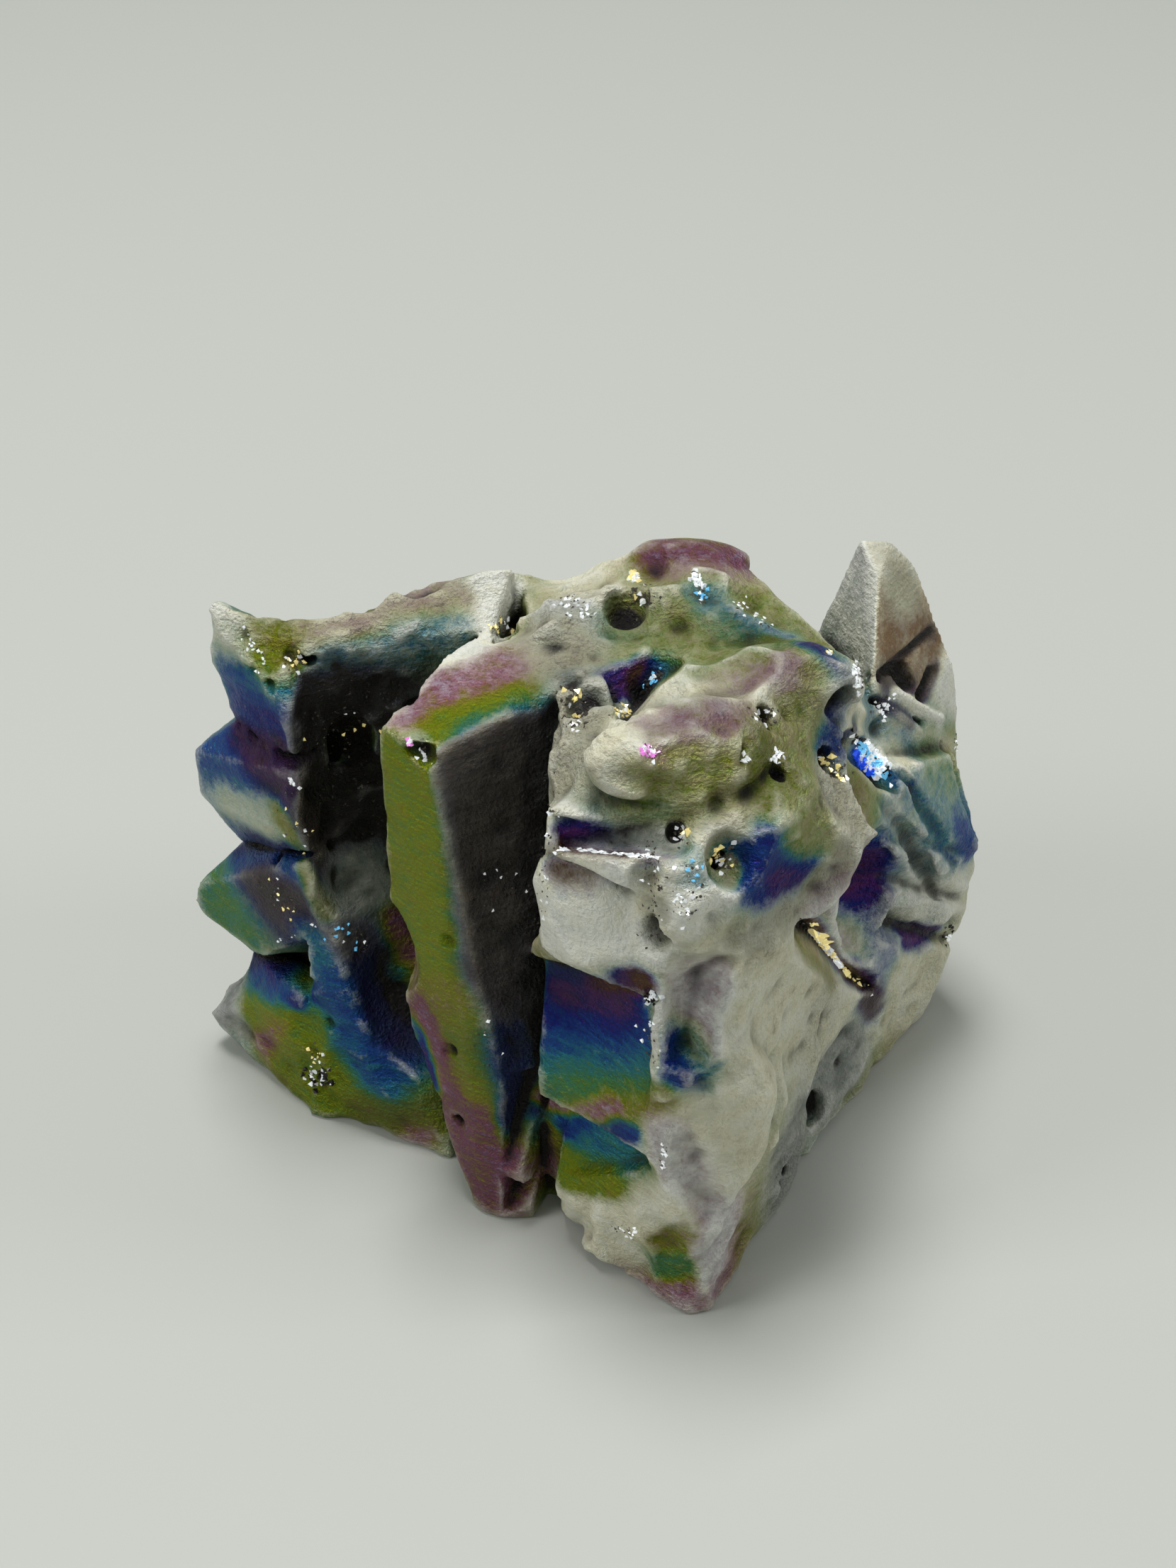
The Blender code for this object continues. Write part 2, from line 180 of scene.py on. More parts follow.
class Clay:
    """The stone as distances to its surface on a grid, in millimetres, negative inside."""

    def __init__(self, node):
        mesh = node.data
        mesh.calc_loop_triangles()
        corners = np.zeros(len(mesh.vertices) * 3, np.float32)
        mesh.vertices.foreach_get("co", corners)
        corners = (corners.reshape(-1, 3) / MM - LAYOUT_SHIFT).astype(np.float32)
        triangles = np.zeros(len(mesh.loop_triangles) * 3, np.int32)
        mesh.loop_triangles.foreach_get("vertices", triangles)
        self.transform = openvdb.createLinearTransform(voxelSize=VOXEL)
        level_set = openvdb.FloatGrid.createLevelSetFromPolygons(
            corners,
            triangles=triangles.reshape(-1, 3).astype(np.uint32),
            transform=self.transform,
            halfWidth=BAND,
        )
        self.first = np.floor(corners.min(0) / VOXEL).astype(int) - MARGIN
        last = np.ceil(corners.max(0) / VOXEL).astype(int) + MARGIN
        self.field = np.zeros(last - self.first, np.float32)
        level_set.copyToArray(self.field, ijk=tuple(int(i) for i in self.first))
        self.axes = [
            ((np.arange(count) + start) * VOXEL).astype(np.float32)
            for count, start in zip(self.field.shape, self.first)
        ]

    def window(self, low, high, pad):
        """The part of the grid round a shape, with its coordinates."""
        cells = []
        for axis, start, end in zip(self.axes, low - pad, high + pad):
            first = int(np.searchsorted(axis, start))
            last = int(np.searchsorted(axis, end)) + 1
            cells.append(slice(max(first - 1, 0), last))
        x, y, z = (axis[cell] for axis, cell in zip(self.axes, cells))
        return tuple(cells), x[:, None, None], y[None, :, None], z[None, None, :]

    def add(self, shape, blend=0.6):
        """Joins a shape on, with a fillet about blend wide."""
        low, high, measure = shape
        cells, x, y, z = self.window(low, high, blend + 3 * VOXEL)
        here = self.field[cells]
        there = measure(x, y, z)
        mix = np.clip(0.5 + 0.5 * (here - there) / blend, 0.0, 1.0)
        self.field[cells] = here + (there - here) * mix - blend * mix * (1.0 - mix)

    def cut(self, shape, blend=0.4):
        """Cuts a shape out, with the edge rounded over about blend."""
        low, high, measure = shape
        cells, x, y, z = self.window(low, high, blend + 3 * VOXEL)
        here = self.field[cells]
        there = -measure(x, y, z)
        mix = np.clip(0.5 + 0.5 * (there - here) / blend, 0.0, 1.0)
        self.field[cells] = here + (there - here) * mix + blend * mix * (1.0 - mix)

    def near(self, places, reach):
        """How near each cell is to the run of places: 1 on it, fading over reach."""
        low, high, measure = rope(places if len(places) > 1 else list(places) * 2, 0.0)
        cells, x, y, z = self.window(low, high, 3.0 * reach)
        share = np.zeros_like(self.field)
        share[cells] = np.exp(-0.5 * (measure(x, y, z) / reach) ** 2)
        return share

    def blurred(self, reach):
        """The field softened over reach."""
        half = int(math.ceil(2.4 * reach / VOXEL))
        steps = np.arange(-half, half + 1)
        weights = np.exp(-0.5 * (steps * VOXEL / reach) ** 2)
        weights = (weights / weights.sum()).astype(np.float32)
        soft = self.field
        for axis in range(3):
            spread = [(half, half) if axis == other else (0, 0) for other in range(3)]
            padded = np.pad(soft, spread, mode="edge")
            soft = sum(
                weight * np.take(padded, range(start, start + self.field.shape[axis]), axis=axis)
                for start, weight in enumerate(weights)
            )
        return soft

    def noise(self, wavelength, seed):
        """A smooth random field, mostly between -1 and 1, with lumps about wavelength wide."""
        knots = [int(count * VOXEL / wavelength) + 5 for count in self.field.shape]
        field = np.random.default_rng(seed).standard_normal(knots).astype(np.float32)
        for count in self.field.shape:
            spots = np.arange(count) * VOXEL / wavelength + 1.0
            base = np.floor(spots).astype(int)
            t = spots - base
            shares = [
                (1 - t) ** 3 / 6,
                (3 * t**3 - 6 * t**2 + 4) / 6,
                (-3 * t**3 + 3 * t**2 + 3 * t + 1) / 6,
                t**3 / 6,
            ]
            weights = np.zeros((count, field.shape[0]), np.float32)
            for step, share in enumerate(shares):
                weights[np.arange(count), base - 1 + step] = share
            field = np.moveaxis(np.tensordot(weights, field, axes=(1, 0)), 0, 2)
        return field * 1.6

    def read(self, field, places):
        """The field's value at each place, from the eight cells round it."""
        spots = np.asarray(places, np.float32) / VOXEL - self.first
        spots = np.clip(spots, 0, np.array(self.field.shape) - 1.001)
        base = spots.astype(int)
        t = spots - base
        value = np.zeros(len(spots), np.float32)
        for corner in np.ndindex(2, 2, 2):
            share = np.prod(np.where(np.array(corner) == 1, t, 1.0 - t), axis=1)
            i, j, k = (base + corner).T
            value += share * field[i, j, k]
        return value

    def slope(self, field, places, step=0.5):
        """The direction in which the field rises fastest at each place."""
        places = np.asarray(places, np.float32)
        shifts = np.eye(3) * step
        rise = [self.read(field, places + shift) - self.read(field, places - shift) for shift in shifts]
        rise = np.stack(rise, axis=1)
        return rise / np.maximum(np.linalg.norm(rise, axis=1, keepdims=True), 1e-6)

    def seen(self, pixels, field=None):
        """Where the photo's pixels meet the stone."""
        field = self.field if field is None else field
        pixels = np.array(pixels, float).reshape(-1, 2)
        rays = (
            VIEW_FORWARD
            + VIEW_RIGHT * ((pixels[:, :1] - IMAGE_WIDTH / 2) / FOCAL_PIXELS)
            - VIEW_UP * ((pixels[:, 1:] - IMAGE_HEIGHT / 2) / FOCAL_PIXELS)
        )
        rays /= np.linalg.norm(rays, axis=1, keepdims=True)
        nearest, furthest, least = 150.0, 260.0, 0.08
        gone = np.full(len(pixels), nearest)
        done = np.zeros(len(pixels), bool)
        while not done.all():
            gap = self.read(field, EYE + rays * gone[:, None])
            done |= (gap < 0.0) | (gone > furthest)
            gone = np.where(done, gone, gone + np.clip(gap * 0.8, least, 2.0))
        return EYE + rays * gone[:, None]

    def mesh(self, name):
        """The stone's surface as a mesh in the frame, in metres."""
        grid = openvdb.FloatGrid(float(BAND * VOXEL))
        grid.copyFromArray(self.field, ijk=tuple(int(i) for i in self.first))
        grid.transform = self.transform
        places, triangles, quads = grid.convertToPolygons(isovalue=0.0)
        shell = largest_shell(len(places), triangles, quads)
        number = np.cumsum(shell) - 1
        faces = []
        for group in (triangles, quads):
            if len(group):
                kept = group[shell[group[:, 0]]]
                faces += number[kept[:, ::-1]].tolist()
        made = bpy.data.meshes.new(name)
        made.from_pydata(to_frame(places[shell]).tolist(), [], faces)
        made.update()
        return made


def link(name, mesh):
    made = bpy.data.objects.new(name, mesh)
    bpy.context.scene.collection.objects.link(made)
    return made


# Carving. Places that the photo shows are given by its pixels, and found on the stone.
# A form is its tool, how wide its edge is blended, and what the tool needs: "facet" cuts
# and "lump" adds a faceted solid, from pixels with their depth or height; "furrow" cuts
# and "ridge" adds a rounded run along pixels, from its sizes and height above the stone;
# "trough" cuts and "roll" adds a rounded run through places, from its sizes.


def lifted(clay, soft, corners, open_by=4.0):
    """A faceted cutter: pixels with their depth, open above the ones at no depth."""
    places = clay.seen([corner[:2] for corner in corners])
    out = unit(clay.slope(soft, places).mean(0))
    points = [place - out * depth for place, (_, _, depth) in zip(places, corners)]
    points += [place + out * open_by for place, (_, _, depth) in zip(places, corners) if depth <= 0.0]
    return block(points)


def standing(clay, soft, corners, sink=3.0):
    """A faceted lump: pixels with their height above the stone, and sunk into it."""
    places = clay.seen([corner[:2] for corner in corners])
    out = unit(clay.slope(soft, places).mean(0))
    points = [place + out * height for place, (_, _, height) in zip(places, corners)]
    points += [place - out * sink for place in places]
    return block(points)


def along(clay, soft, size, height, pixels):
    """A rounded run along pixels of the stone, whose middle line is height above it."""
    places = clay.seen(pixels)
    return rope(places + clay.slope(soft, places) * height, size)


def work(clay, soft, forms):
    """Carves the named forms in their order."""
    for tool, blend, *settings in forms.values():
        if tool == "facet":
            clay.cut(lifted(clay, soft, settings), blend)
        elif tool == "lump":
            clay.add(standing(clay, soft, settings), blend)
        elif tool == "furrow":
            clay.cut(along(clay, soft, *settings), blend)
        elif tool == "ridge":
            clay.add(along(clay, soft, *settings), blend)
        elif tool == "trough":
            clay.cut(rope(*settings), blend)
        elif tool == "roll":
            clay.add(rope(*settings), blend)


# The jaw's four spikes. Each has its outer tip at the left, and where it ends inside
# at the rim of the mouth. A valley's ends are shared by the spikes beside it.
JAW_SPIKES = {
    "tip": [
        (-32.3, -0.6, 50.2), (-31.9, -1.0, 44.2), (-30.4, -0.8, 37.6), (-24.9, -3.4, 49.6),
        (-24.8, -7.2, 46.4), (-24.2, -9.2, 44.0), (-24.0, -9.4, 39.4), (-30.0, 4.0, 49.6),
        (-28.6, 4.0, 38.0), (-21.6, 0.0, 38.0), (-21.6, -1.0, 49.0),
    ],
    "second": [
        (-34.6, 0.0, 33.8), (-34.5, 0.0, 29.2), (-30.4, -0.6, 37.5), (-24.0, -9.8, 38.8),
        (-23.7, -10.1, 30.4), (-31.5, 0.0, 23.4), (-29.4, 5.0, 36.6), (-29.4, 5.0, 24.0),
        (-21.6, -3.0, 38.0), (-21.6, -3.0, 26.0),
    ],
    "third": [
        (-36.0, 0.0, 18.4), (-35.8, 0.0, 15.2), (-31.5, 0.0, 23.3), (-23.8, -10.3, 29.6),
        (-23.2, -10.9, 22.4), (-29.6, -5.4, 14.6), (-31.7, -0.8, 10.8), (-29.4, 5.0, 22.6),
        (-29.6, 5.0, 11.4), (-21.6, -4.0, 28.0), (-21.6, -4.0, 14.0),
    ],
    "fourth": [
        (-36.3, -1.8, 3.8), (-31.7, -0.8, 10.7), (-25.6, -9.7, 13.6), (-31.0, -5.8, 2.8), (-28.9, -8.0, 0.2),
        (-27.0, -9.4, 8.0), (-33.6, -2.0, -1.0), (-29.6, 5.0, 10.4), (-31.0, 5.0, -2.0), (-21.6, -4.0, 12.0),
        (-21.6, -6.0, -2.0), (-26.0, -10.4, 0.0),
    ],
}

# The edge at the back of the jaw's rim, which dips behind the tip and rises to the neck,
# and how steeply the broken top and then the back fall away from it
JAW_RIM = [
    (-36.0, 1.2, 50.6), (-31.6, 0.4, 50.3), (-28.6, -1.6, 49.6), (-24.9, -2.8, 49.6), (-19.2, -1.8, 49.9),
    (-13.5, 0.8, 50.8), (-8.3, 2.7, 50.9), (-3.0, 4.3, 50.2),
]
RIM_FALLS = (0.1, 0.8)
RIM_AHEAD = 7.0
RIM_BEHIND = 16.0
RIM_OPEN = 14.0

# What the solid has too much of left of the spikes: a slab behind them, and a wedge before
# them, by its corners seen from above
BEHIND_SPIKES = ((-45.0, -29.9), (2.2, 22.0), (-2.0, 45.0))
BEFORE_SPIKES = ((-32.6, 3.2), (-22.4, -6.4), (-46.0, -6.0), (-34.0, -22.0))

# The floor of the mouth between the jaw and the tongue, and the hollow worn in it
BOWL = [
    (-25.0, -8.6, 12.0), (-23.2, -10.2, 24.0), (-25.6, -11.4, 0.0), (-12.4, -17.0, 0.0),
    (-21.4, -4.0, 25.0), (-16.6, -7.4, 19.0), (-15.4, -11.0, 13.6), (-13.0, -14.6, 7.0),
    (-24.0, 6.0, 14.0), (-8.0, 2.0, 12.0), (-24.0, 6.0, 0.0), (-8.0, 2.0, 0.0),
]
BOWL_HOLLOW = {"centre": (-15.4, -12.8, 19.0), "radii": (6.0, 5.4, 11.0), "turn": -36, "lean": -8}

TONGUE = [
    (-16.2, -16.2, 48.4), (-12.0, -19.3, 47.8), (-2.3, -12.6, 49.8), (-8.0, -2.0, 49.8), (2.0, 0.0, 50.0),
    (-16.6, -15.9, 28.0), (-10.8, -20.2, 29.0), (-15.0, -17.4, 15.0), (-9.2, -21.4, 16.0),
    (-11.6, -21.2, 5.0), (-5.6, -24.6, 5.0), (-9.0, -23.6, -3.0), (-2.2, -23.4, -3.0),
    (2.0, -4.0, -3.0), (-8.0, 2.0, -3.0),
]


def carve_jaw(clay):
    """The spikes, the slope behind the rim, the bowl below the mouth and the tongue."""
    clay.cut(box(*BEHIND_SPIKES), 1.0)
    clay.cut(block([(x, y, z) for x, y in BEFORE_SPIKES for z in (-4.0, 56.0)]), 0.2)
    for spike in JAW_SPIKES.values():
        clay.add(block(spike), 0.12)
    for start, end in zip(JAW_RIM, JAW_RIM[1:]):
        for fall in RIM_FALLS:
            section = (
                (-RIM_AHEAD, RIM_AHEAD * fall), (RIM_BEHIND, -RIM_BEHIND * fall),
                (-RIM_AHEAD, RIM_OPEN), (RIM_BEHIND, RIM_OPEN),
            )
            ends = [np.array(place) + (0.0, y, z) for place in (start, end) for y, z in section]
            clay.cut(block(ends), 0.3)
    clay.add(block(BOWL), 0.8)
    clay.cut(ball(**BOWL_HOLLOW), 1.6)
    clay.add(block(TONGUE), 0.15)


# The front plane that the snout, the tongue and the lower jaw were sawn to
NOSE_TIP = np.array([9.3, -34.8, 0.0])
ALONG_FRONT = np.array([-0.805, 0.593, 0.0])
OUT_OF_FRONT = np.array([-0.593, -0.805, 0.0])
FRONT_TURN = -36

# Saw cuts under the blocks' overhangs: the crest above, the valley below it, the crest at
# the bottom, and the depth
NOTCHES = {
    "under the first tooth": (33.4, 32.6, 18.6, 4.4),
    "under the second tooth": (17.0, 16.2, 6.6, 3.6),
    "under the third tooth": (5.2, 4.8, 1.2, 2.4),
}
NOTCH_REACH = 20.0
NOTCH_CORNER = 5.6

# Where the lower blocks stop short at the mouth: the distance along the front plane, how
# wide the piece cut off is, its top, and its depth
SHORT_BLOCKS = {
    "third tooth": (14.8, 2.7, 15.3, 4.0),
    "fourth block": (11.9, 5.6, 3.8, 5.0),
    "nose": (7.4, 5.0, 0.9, 3.0),
}

LIP_KNOB = {"centre": (-0.4, -25.8, 38.8), "radii": (4.6, 2.2, 4.6), "turn": FRONT_TURN}

TOOTH_FORMS = {
    "first tooth, foot": (
        "lump", 0.5, (752, 1338, 0.9), (880, 1376, 1.0), (890, 1330, 0.2), (770, 1290, 0.2), (820, 1350, 1.2),
    ),
    "second tooth, side": (
        "lump", 0.4, (925, 1440, 0.2), (950, 1450, 0.8), (985, 1520, 1.6), (960, 1540, 1.2), (925, 1545, 0.4),
    ),
    "third tooth, foot": (
        "lump", 0.4, (792, 1700, 0.8), (850, 1732, 1.2), (930, 1738, 1.0), (985, 1700, 0.6), (960, 1650, 0.0),
        (800, 1660, 0.0),
    ),
    "fourth block": ("lump", 0.3, (830, 1755, 0.5), (880, 1778, 0.8), (930, 1765, 0.4), (900, 1735, 0.2)),
}

# The middles of the scallops along the feet of the third tooth and the fourth block
SCALLOPS = ((806, 1706), (846, 1724), (900, 1732), (850, 1764), (900, 1774))

LIP_FORMS = {
    "shelf": (
        "facet", 0.2, (785, 1150, 0.0), (975, 1150, 0.0), (970, 1196, 1.2), (785, 1190, 1.4),
        (785, 1204, 0.0), (970, 1208, 0.0),
    ),
    "first tooth, step": (
        "facet", 0.3, (893, 1215, 0.0), (915, 1210, 0.7), (935, 1225, 0.0), (905, 1330, 0.0),
        (915, 1290, 0.8), (885, 1320, 0.0),
    ),
    "lip bump": ("ridge", 0.7, (1.5, 1.9, 1.3), -0.3, [(955, 1300), (965, 1275), (990, 1265)]),
}


def front(along_it, out, z):
    """A place by its distance along the front plane from the nose tip, and out of it."""
    return NOSE_TIP + ALONG_FRONT * along_it + OUT_OF_FRONT * out + (0.0, 0.0, z)


def notch(upper, valley, lower, depth):
    """A saw cut under an overhang: a short underside, then a face that leans out to a crest."""
    corners = []
    for along_it, deep in ((NOTCH_REACH, depth), (NOTCH_CORNER, depth * 0.5)):
        corners += [
            front(along_it, -deep, valley), front(along_it, 0.6, upper), front(along_it, 0.6, lower),
            front(along_it, 5.0, upper + 0.4), front(along_it, 5.0, lower - 2.0),
        ]
    return block(corners)


def short_block(edge, wide, top, depth):
    """The piece that a block lacks beside the mouth, below its top."""
    return block([
        front(edge + shift + 0.2 * deep, 1.5 - deep, z)
        for shift in (0.0, wide) for deep in (0.0, depth) for z in (-3.0, top - 0.06 * deep)
    ])


def carve_teeth(clay, soft):
    """Blocks that overhang one another down the edge of the snout."""
    for sizes in NOTCHES.values():
        clay.cut(notch(*sizes), 0.1)
    for sizes in SHORT_BLOCKS.values():
        clay.cut(short_block(*sizes), 0.1)
    clay.add(ball(**LIP_KNOB), 0.8)
    work(clay, soft, TOOTH_FORMS)
    for u, v in SCALLOPS:
        clay.add(along(clay, soft, 1.6, -1.15, [(u, v), (u + 4, v - 14)]), 0.12)
    work(clay, soft, LIP_FORMS)


NOSE_FORMS = {
    "brow ridge": (
        "ridge", 1.0, (1.4, 1.6, 1.4, 1.0), -0.3, [(1222, 1172), (1180, 1232), (1125, 1288), (1052, 1345)],
    ),
    "nose ridge": ("ridge", 1.0, (1.0, 1.5, 1.2), -0.2, [(1046, 1352), (1022, 1440), (1000, 1500)]),
    "facet left of the ridge": (
        "facet", 0.1, (1050, 1338, 0.0), (1024, 1430, 0.0), (1000, 1512, 0.0), (940, 1510, 0.0),
        (930, 1400, 0.0), (960, 1345, 0.0), (985, 1380, 1.7), (965, 1480, 1.9),
    ),
    "facet right of the ridge": (
        "facet", 0.15, (1072, 1345, 0.0), (1125, 1360, 0.0), (1200, 1410, 0.0), (1120, 1570, 0.0),
        (1085, 1600, 0.0), (1030, 1450, 0.0), (1100, 1440, 1.3), (1085, 1540, 1.2),
    ),
    "facet below the brow": (
        "facet", 0.15, (1205, 1418, 0.0), (1240, 1400, 0.0), (1262, 1420, 0.0), (1150, 1590, 0.0),
        (1105, 1600, 0.0), (1200, 1470, 1.6), (1150, 1540, 1.6),
    ),
    "oval": (
        "ridge", 0.12, (2.6, 3.6, 3.2, 2.2), -1.5, [(1030, 1500), (1052, 1550), (1046, 1620), (1020, 1690)],
    ),
    "hollow beside the oval": ("furrow", 0.1, (1.8, 2.6, 2.2), 1.2, [(966, 1590), (978, 1650), (1004, 1715)]),
    "vein": ("ridge", 0.5, (0.5, 0.6, 0.5), 0.0, [(1092, 1500), (1098, 1545), (1085, 1610)]),
}

# Saw scratches in threes: their width, how far apart they are in pixels, how much each
# next one is raised, and the ends of the first one
SCRATCHES = {
    "on the oval": (0.32, 16, 2, (1004, 1506), (1040, 1552)),
    "on the ridge": (0.28, 14, 3, (1022, 1352), (1042, 1372)),
}

BROW_FORMS = {
    "brow cut": (
        "facet", 0.06, (1126, 1290, 0.0), (1114, 1312, 0.0), (1122, 1350, 0.0), (1165, 1388, 0.0),
        (1212, 1404, 0.0), (1243, 1398, 0.0), (1150, 1292, 0.0), (1144, 1300, 1.9), (1232, 1390, 1.9),
    ),
    "eye cut": (
        "facet", 0.06, (1186, 1046, 0.0), (1206, 1020, 0.0), (1240, 1040, 0.0), (1276, 1090, 0.0),
        (1266, 1122, 0.0), (1236, 1112, 0.0), (1208, 1044, 2.6), (1258, 1102, 2.6),
    ),
    "brow hollow": ("furrow", 0.2, (2.6, 4.6, 4.0), 2.6, [(1228, 1195), (1208, 1250), (1232, 1325)]),
    "brow side": (
        "facet", 0.8, (1160, 1440, 0.0), (1240, 1400, 0.0), (1250, 1450, 0.0), (1170, 1560, 0.0),
        (1130, 1560, 0.0), (1190, 1500, 0.8),
    ),
}


def carve_nose(clay, soft):
    """The long ridge from the brow, the oval beside it and the two wheel cuts."""
    work(clay, soft, NOSE_FORMS)
    for width, apart, rise, start, end in SCRATCHES.values():
        for across in (0, apart, 2 * apart):
            line = [(u + across, v - across / rise) for u, v in (start, end)]
            clay.cut(along(clay, soft, width, 0.12, line), 0.05)
    work(clay, soft, BROW_FORMS)


PETALS = {
    "first": (
        "roll", 2.4, [(1.6, -22.9, 50.2), (4.6, -22.4, 50.6), (8.0, -20.6, 50.2), (13.0, -18.6, 49.4)],
        (1.7, 2.3, 2.4, 2.4),
    ),
    "second": (
        "roll", 2.0, [(3.4, -17.8, 49.6), (8.0, -16.6, 50.6), (13.0, -14.2, 51.0), (18.0, -11.6, 50.2)],
        (0.9, 1.5, 1.9, 1.6),
    ),
    "left knob": ("roll", 0.8, [(-1.4, -3.6, 50.6), (-1.2, -5.0, 50.4)], 2.0),
}

# The crown behind the crest is ground flat
CROWN = ((-1.0, 18.0), (3.0, 14.0), (51.9, 60.0))

CHEEK_FORMS = {
    "crest": (
        "roll", 1.0,
        [(3.2, 3.0, 50.0), (8.0, 3.2, 50.8), (12.2, 1.8, 50.2), (15.4, -2.6, 49.4), (18.8, -7.0, 49.0)],
        (1.4, 1.7, 1.7, 1.2, 1.0),
    ),
    "petal's top": (
        "lump", 1.2, (852, 1036, 0.7), (880, 1010, 0.5), (960, 994, 0.5), (1070, 975, 0.2), (1100, 1030, 0.0),
        (1000, 1062, 0.8), (900, 1072, 0.9),
    ),
    "brow": (
        "lump", 1.6, (1105, 1085, 0.6), (1190, 1105, 0.2), (1230, 1150, 0.0), (1222, 1185, 0.0),
        (1180, 1228, 0.4), (1120, 1250, 0.6), (1085, 1170, 0.6),
    ),
    "brow, flattened": ("furrow", 0.4, 7.0, 5.4, [(1212, 1112), (1238, 1150)]),
    "dip below the crest": (
        "trough", 1.6, [(4.0, -7.0, 53.0), (10.0, -8.4, 53.4), (15.6, -7.0, 52.6)], (1.6, 2.6, 1.6),
    ),
    "recess": (
        "facet", 0.06, (858, 945, 0.0), (932, 900, 0.0), (955, 940, 0.0), (905, 1008, 0.0), (866, 1004, 0.0),
        (930, 914, 1.4), (880, 1000, 2.0), (902, 952, 3.4),
    ),
    "recess, left": (
        "facet", 0.06, (846, 945, 0.0), (884, 934, 0.0), (878, 1000, 0.0), (856, 990, 0.0), (866, 965, 2.4),
    ),
    "petal, lower edge": ("furrow", 0.5, (0.9, 1.3, 1.0), 0.5, [(862, 1092), (900, 1104), (945, 1108)]),
}

# The folds under the petal: where each starts and ends down the photo, and how far
# apart they are across it
PETAL_FOLDS = ((1070, 1140), (1062, 1150), (1050, 1140), (1085, 1160))
FIRST_FOLD = 935
FOLDS_APART = 42


def carve_cheek(clay, soft):
    """Petals, knobs, the crest's roll and the cut recess on the cheek that faces up."""
    work(clay, soft, PETALS)
    clay.cut(box(*CROWN), 1.2)
    work(clay, soft, CHEEK_FORMS)
    for fold, (high, low) in enumerate(PETAL_FOLDS):
        shift = FIRST_FOLD + FOLDS_APART * fold
        clay.cut(along(clay, soft, (0.4, 0.7), 0.5, [(shift, high), (shift - 8, low)]), 0.7)


MANE_FORMS = {
    "lock, near": ("furrow", 0.1, (0.7, 1.1, 0.8), 0.5, [(1268, 1090), (1310, 1150), (1346, 1222)]),
    "lock, nearer": ("furrow", 0.1, (0.7, 1.1, 0.8), 0.5, [(1238, 1128), (1282, 1188), (1316, 1262)]),
    "lock, far": ("furrow", 0.1, (0.7, 1.1, 0.8), 0.5, [(1328, 1052), (1362, 1120), (1384, 1190)]),
    "lock, nearest": ("furrow", 0.1, (0.7, 1.1, 0.8), 0.5, [(1240, 1200), (1270, 1270), (1282, 1330)]),
    "horn cell, upper": (
        "facet", 0.05, (1314, 878, 0.0), (1322, 892, 0.0), (1240, 968, 0.0), (1228, 952, 0.0),
        (1316, 886, 0.5), (1238, 955, 1.4),
    ),
    "horn cell, middle": (
        "facet", 0.05, (1240, 944, 0.0), (1266, 926, 0.0), (1292, 972, 0.0), (1276, 982, 0.0),
        (1256, 946, 1.5), (1276, 968, 1.5),
    ),
    "horn cell, right": (
        "facet", 0.05, (1312, 934, 0.0), (1322, 940, 0.0), (1302, 996, 0.0), (1286, 990, 0.0),
        (1316, 942, 0.5), (1296, 984, 1.4),
    ),
    "horn cell, left": (
        "facet", 0.05, (1228, 976, 0.0), (1262, 994, 0.0), (1252, 1012, 0.0), (1222, 990, 0.0),
        (1238, 986, 1.4), (1250, 998, 1.4),
    ),
    "horn cell, lower": (
        "facet", 0.05, (1272, 1000, 0.0), (1308, 1018, 0.0), (1300, 1034, 0.0), (1268, 1016, 0.0),
        (1282, 1010, 1.3), (1298, 1022, 1.3),
    ),
}

# Bars across the horn, kept only where their pixels meet it and not the mane behind
HORN_BARS = {
    "lower": [(1240, 990), (1266, 1010), (1296, 1030)],
    "upper": [(1238, 956), (1264, 978), (1296, 998), (1326, 1014)],
}
HORN_REACH = 9.0

HORN_FOOT = {
    "foot of the horn": ("furrow", 0.2, (1.0, 1.4, 1.0), 0.7, [(1196, 1004), (1240, 1030), (1290, 1085)]),
}


def carve_mane(clay, soft):
    """Swept locks behind the brow, and the cells and bars of the ear horn."""
    work(clay, soft, MANE_FORMS)
    for pixels in HORN_BARS.values():
        run = clay.seen(pixels)
        run = run[np.linalg.norm(run - run.mean(0), axis=1) < HORN_REACH]
        clay.add(rope(run, 0.5), 0.2)
    work(clay, soft, HORN_FOOT)


# Chips: their number, and the range of their radii and depths
CHIPS = 1700
CHIP_RADII = (1.8, 7.0)
CHIP_DEPTHS = (0.12, 0.5)


def chip(clay, soft, keep):
    """Shallow hollows left by the wheel and by chipping, on open faces away from the crisp cuts."""
    chance = np.random.default_rng(71)
    cells = np.argwhere(np.abs(clay.field) < 0.5 * VOXEL)
    places = (cells[chance.integers(0, len(cells), CHIPS)] + clay.first) * VOXEL
    out = clay.slope(soft, places)
    calm = clay.read(keep, places) < 0.3
    around = chance.normal(0.0, 1.0, (70, 3))
    around /= np.linalg.norm(around, axis=1, keepdims=True)
    for place, away in zip(places[calm], out[calm]):
        radius = chance.uniform(*CHIP_RADII)
        depth = chance.uniform(*CHIP_DEPTHS)
        away = unit(away + chance.normal(0.0, 0.14, 3))
        centre = place + away * (radius - depth)
        if (clay.read(clay.field, centre + 0.92 * radius * around) < 0.0).mean() < 0.03:
            clay.cut(ball(centre, radius), 0.02)


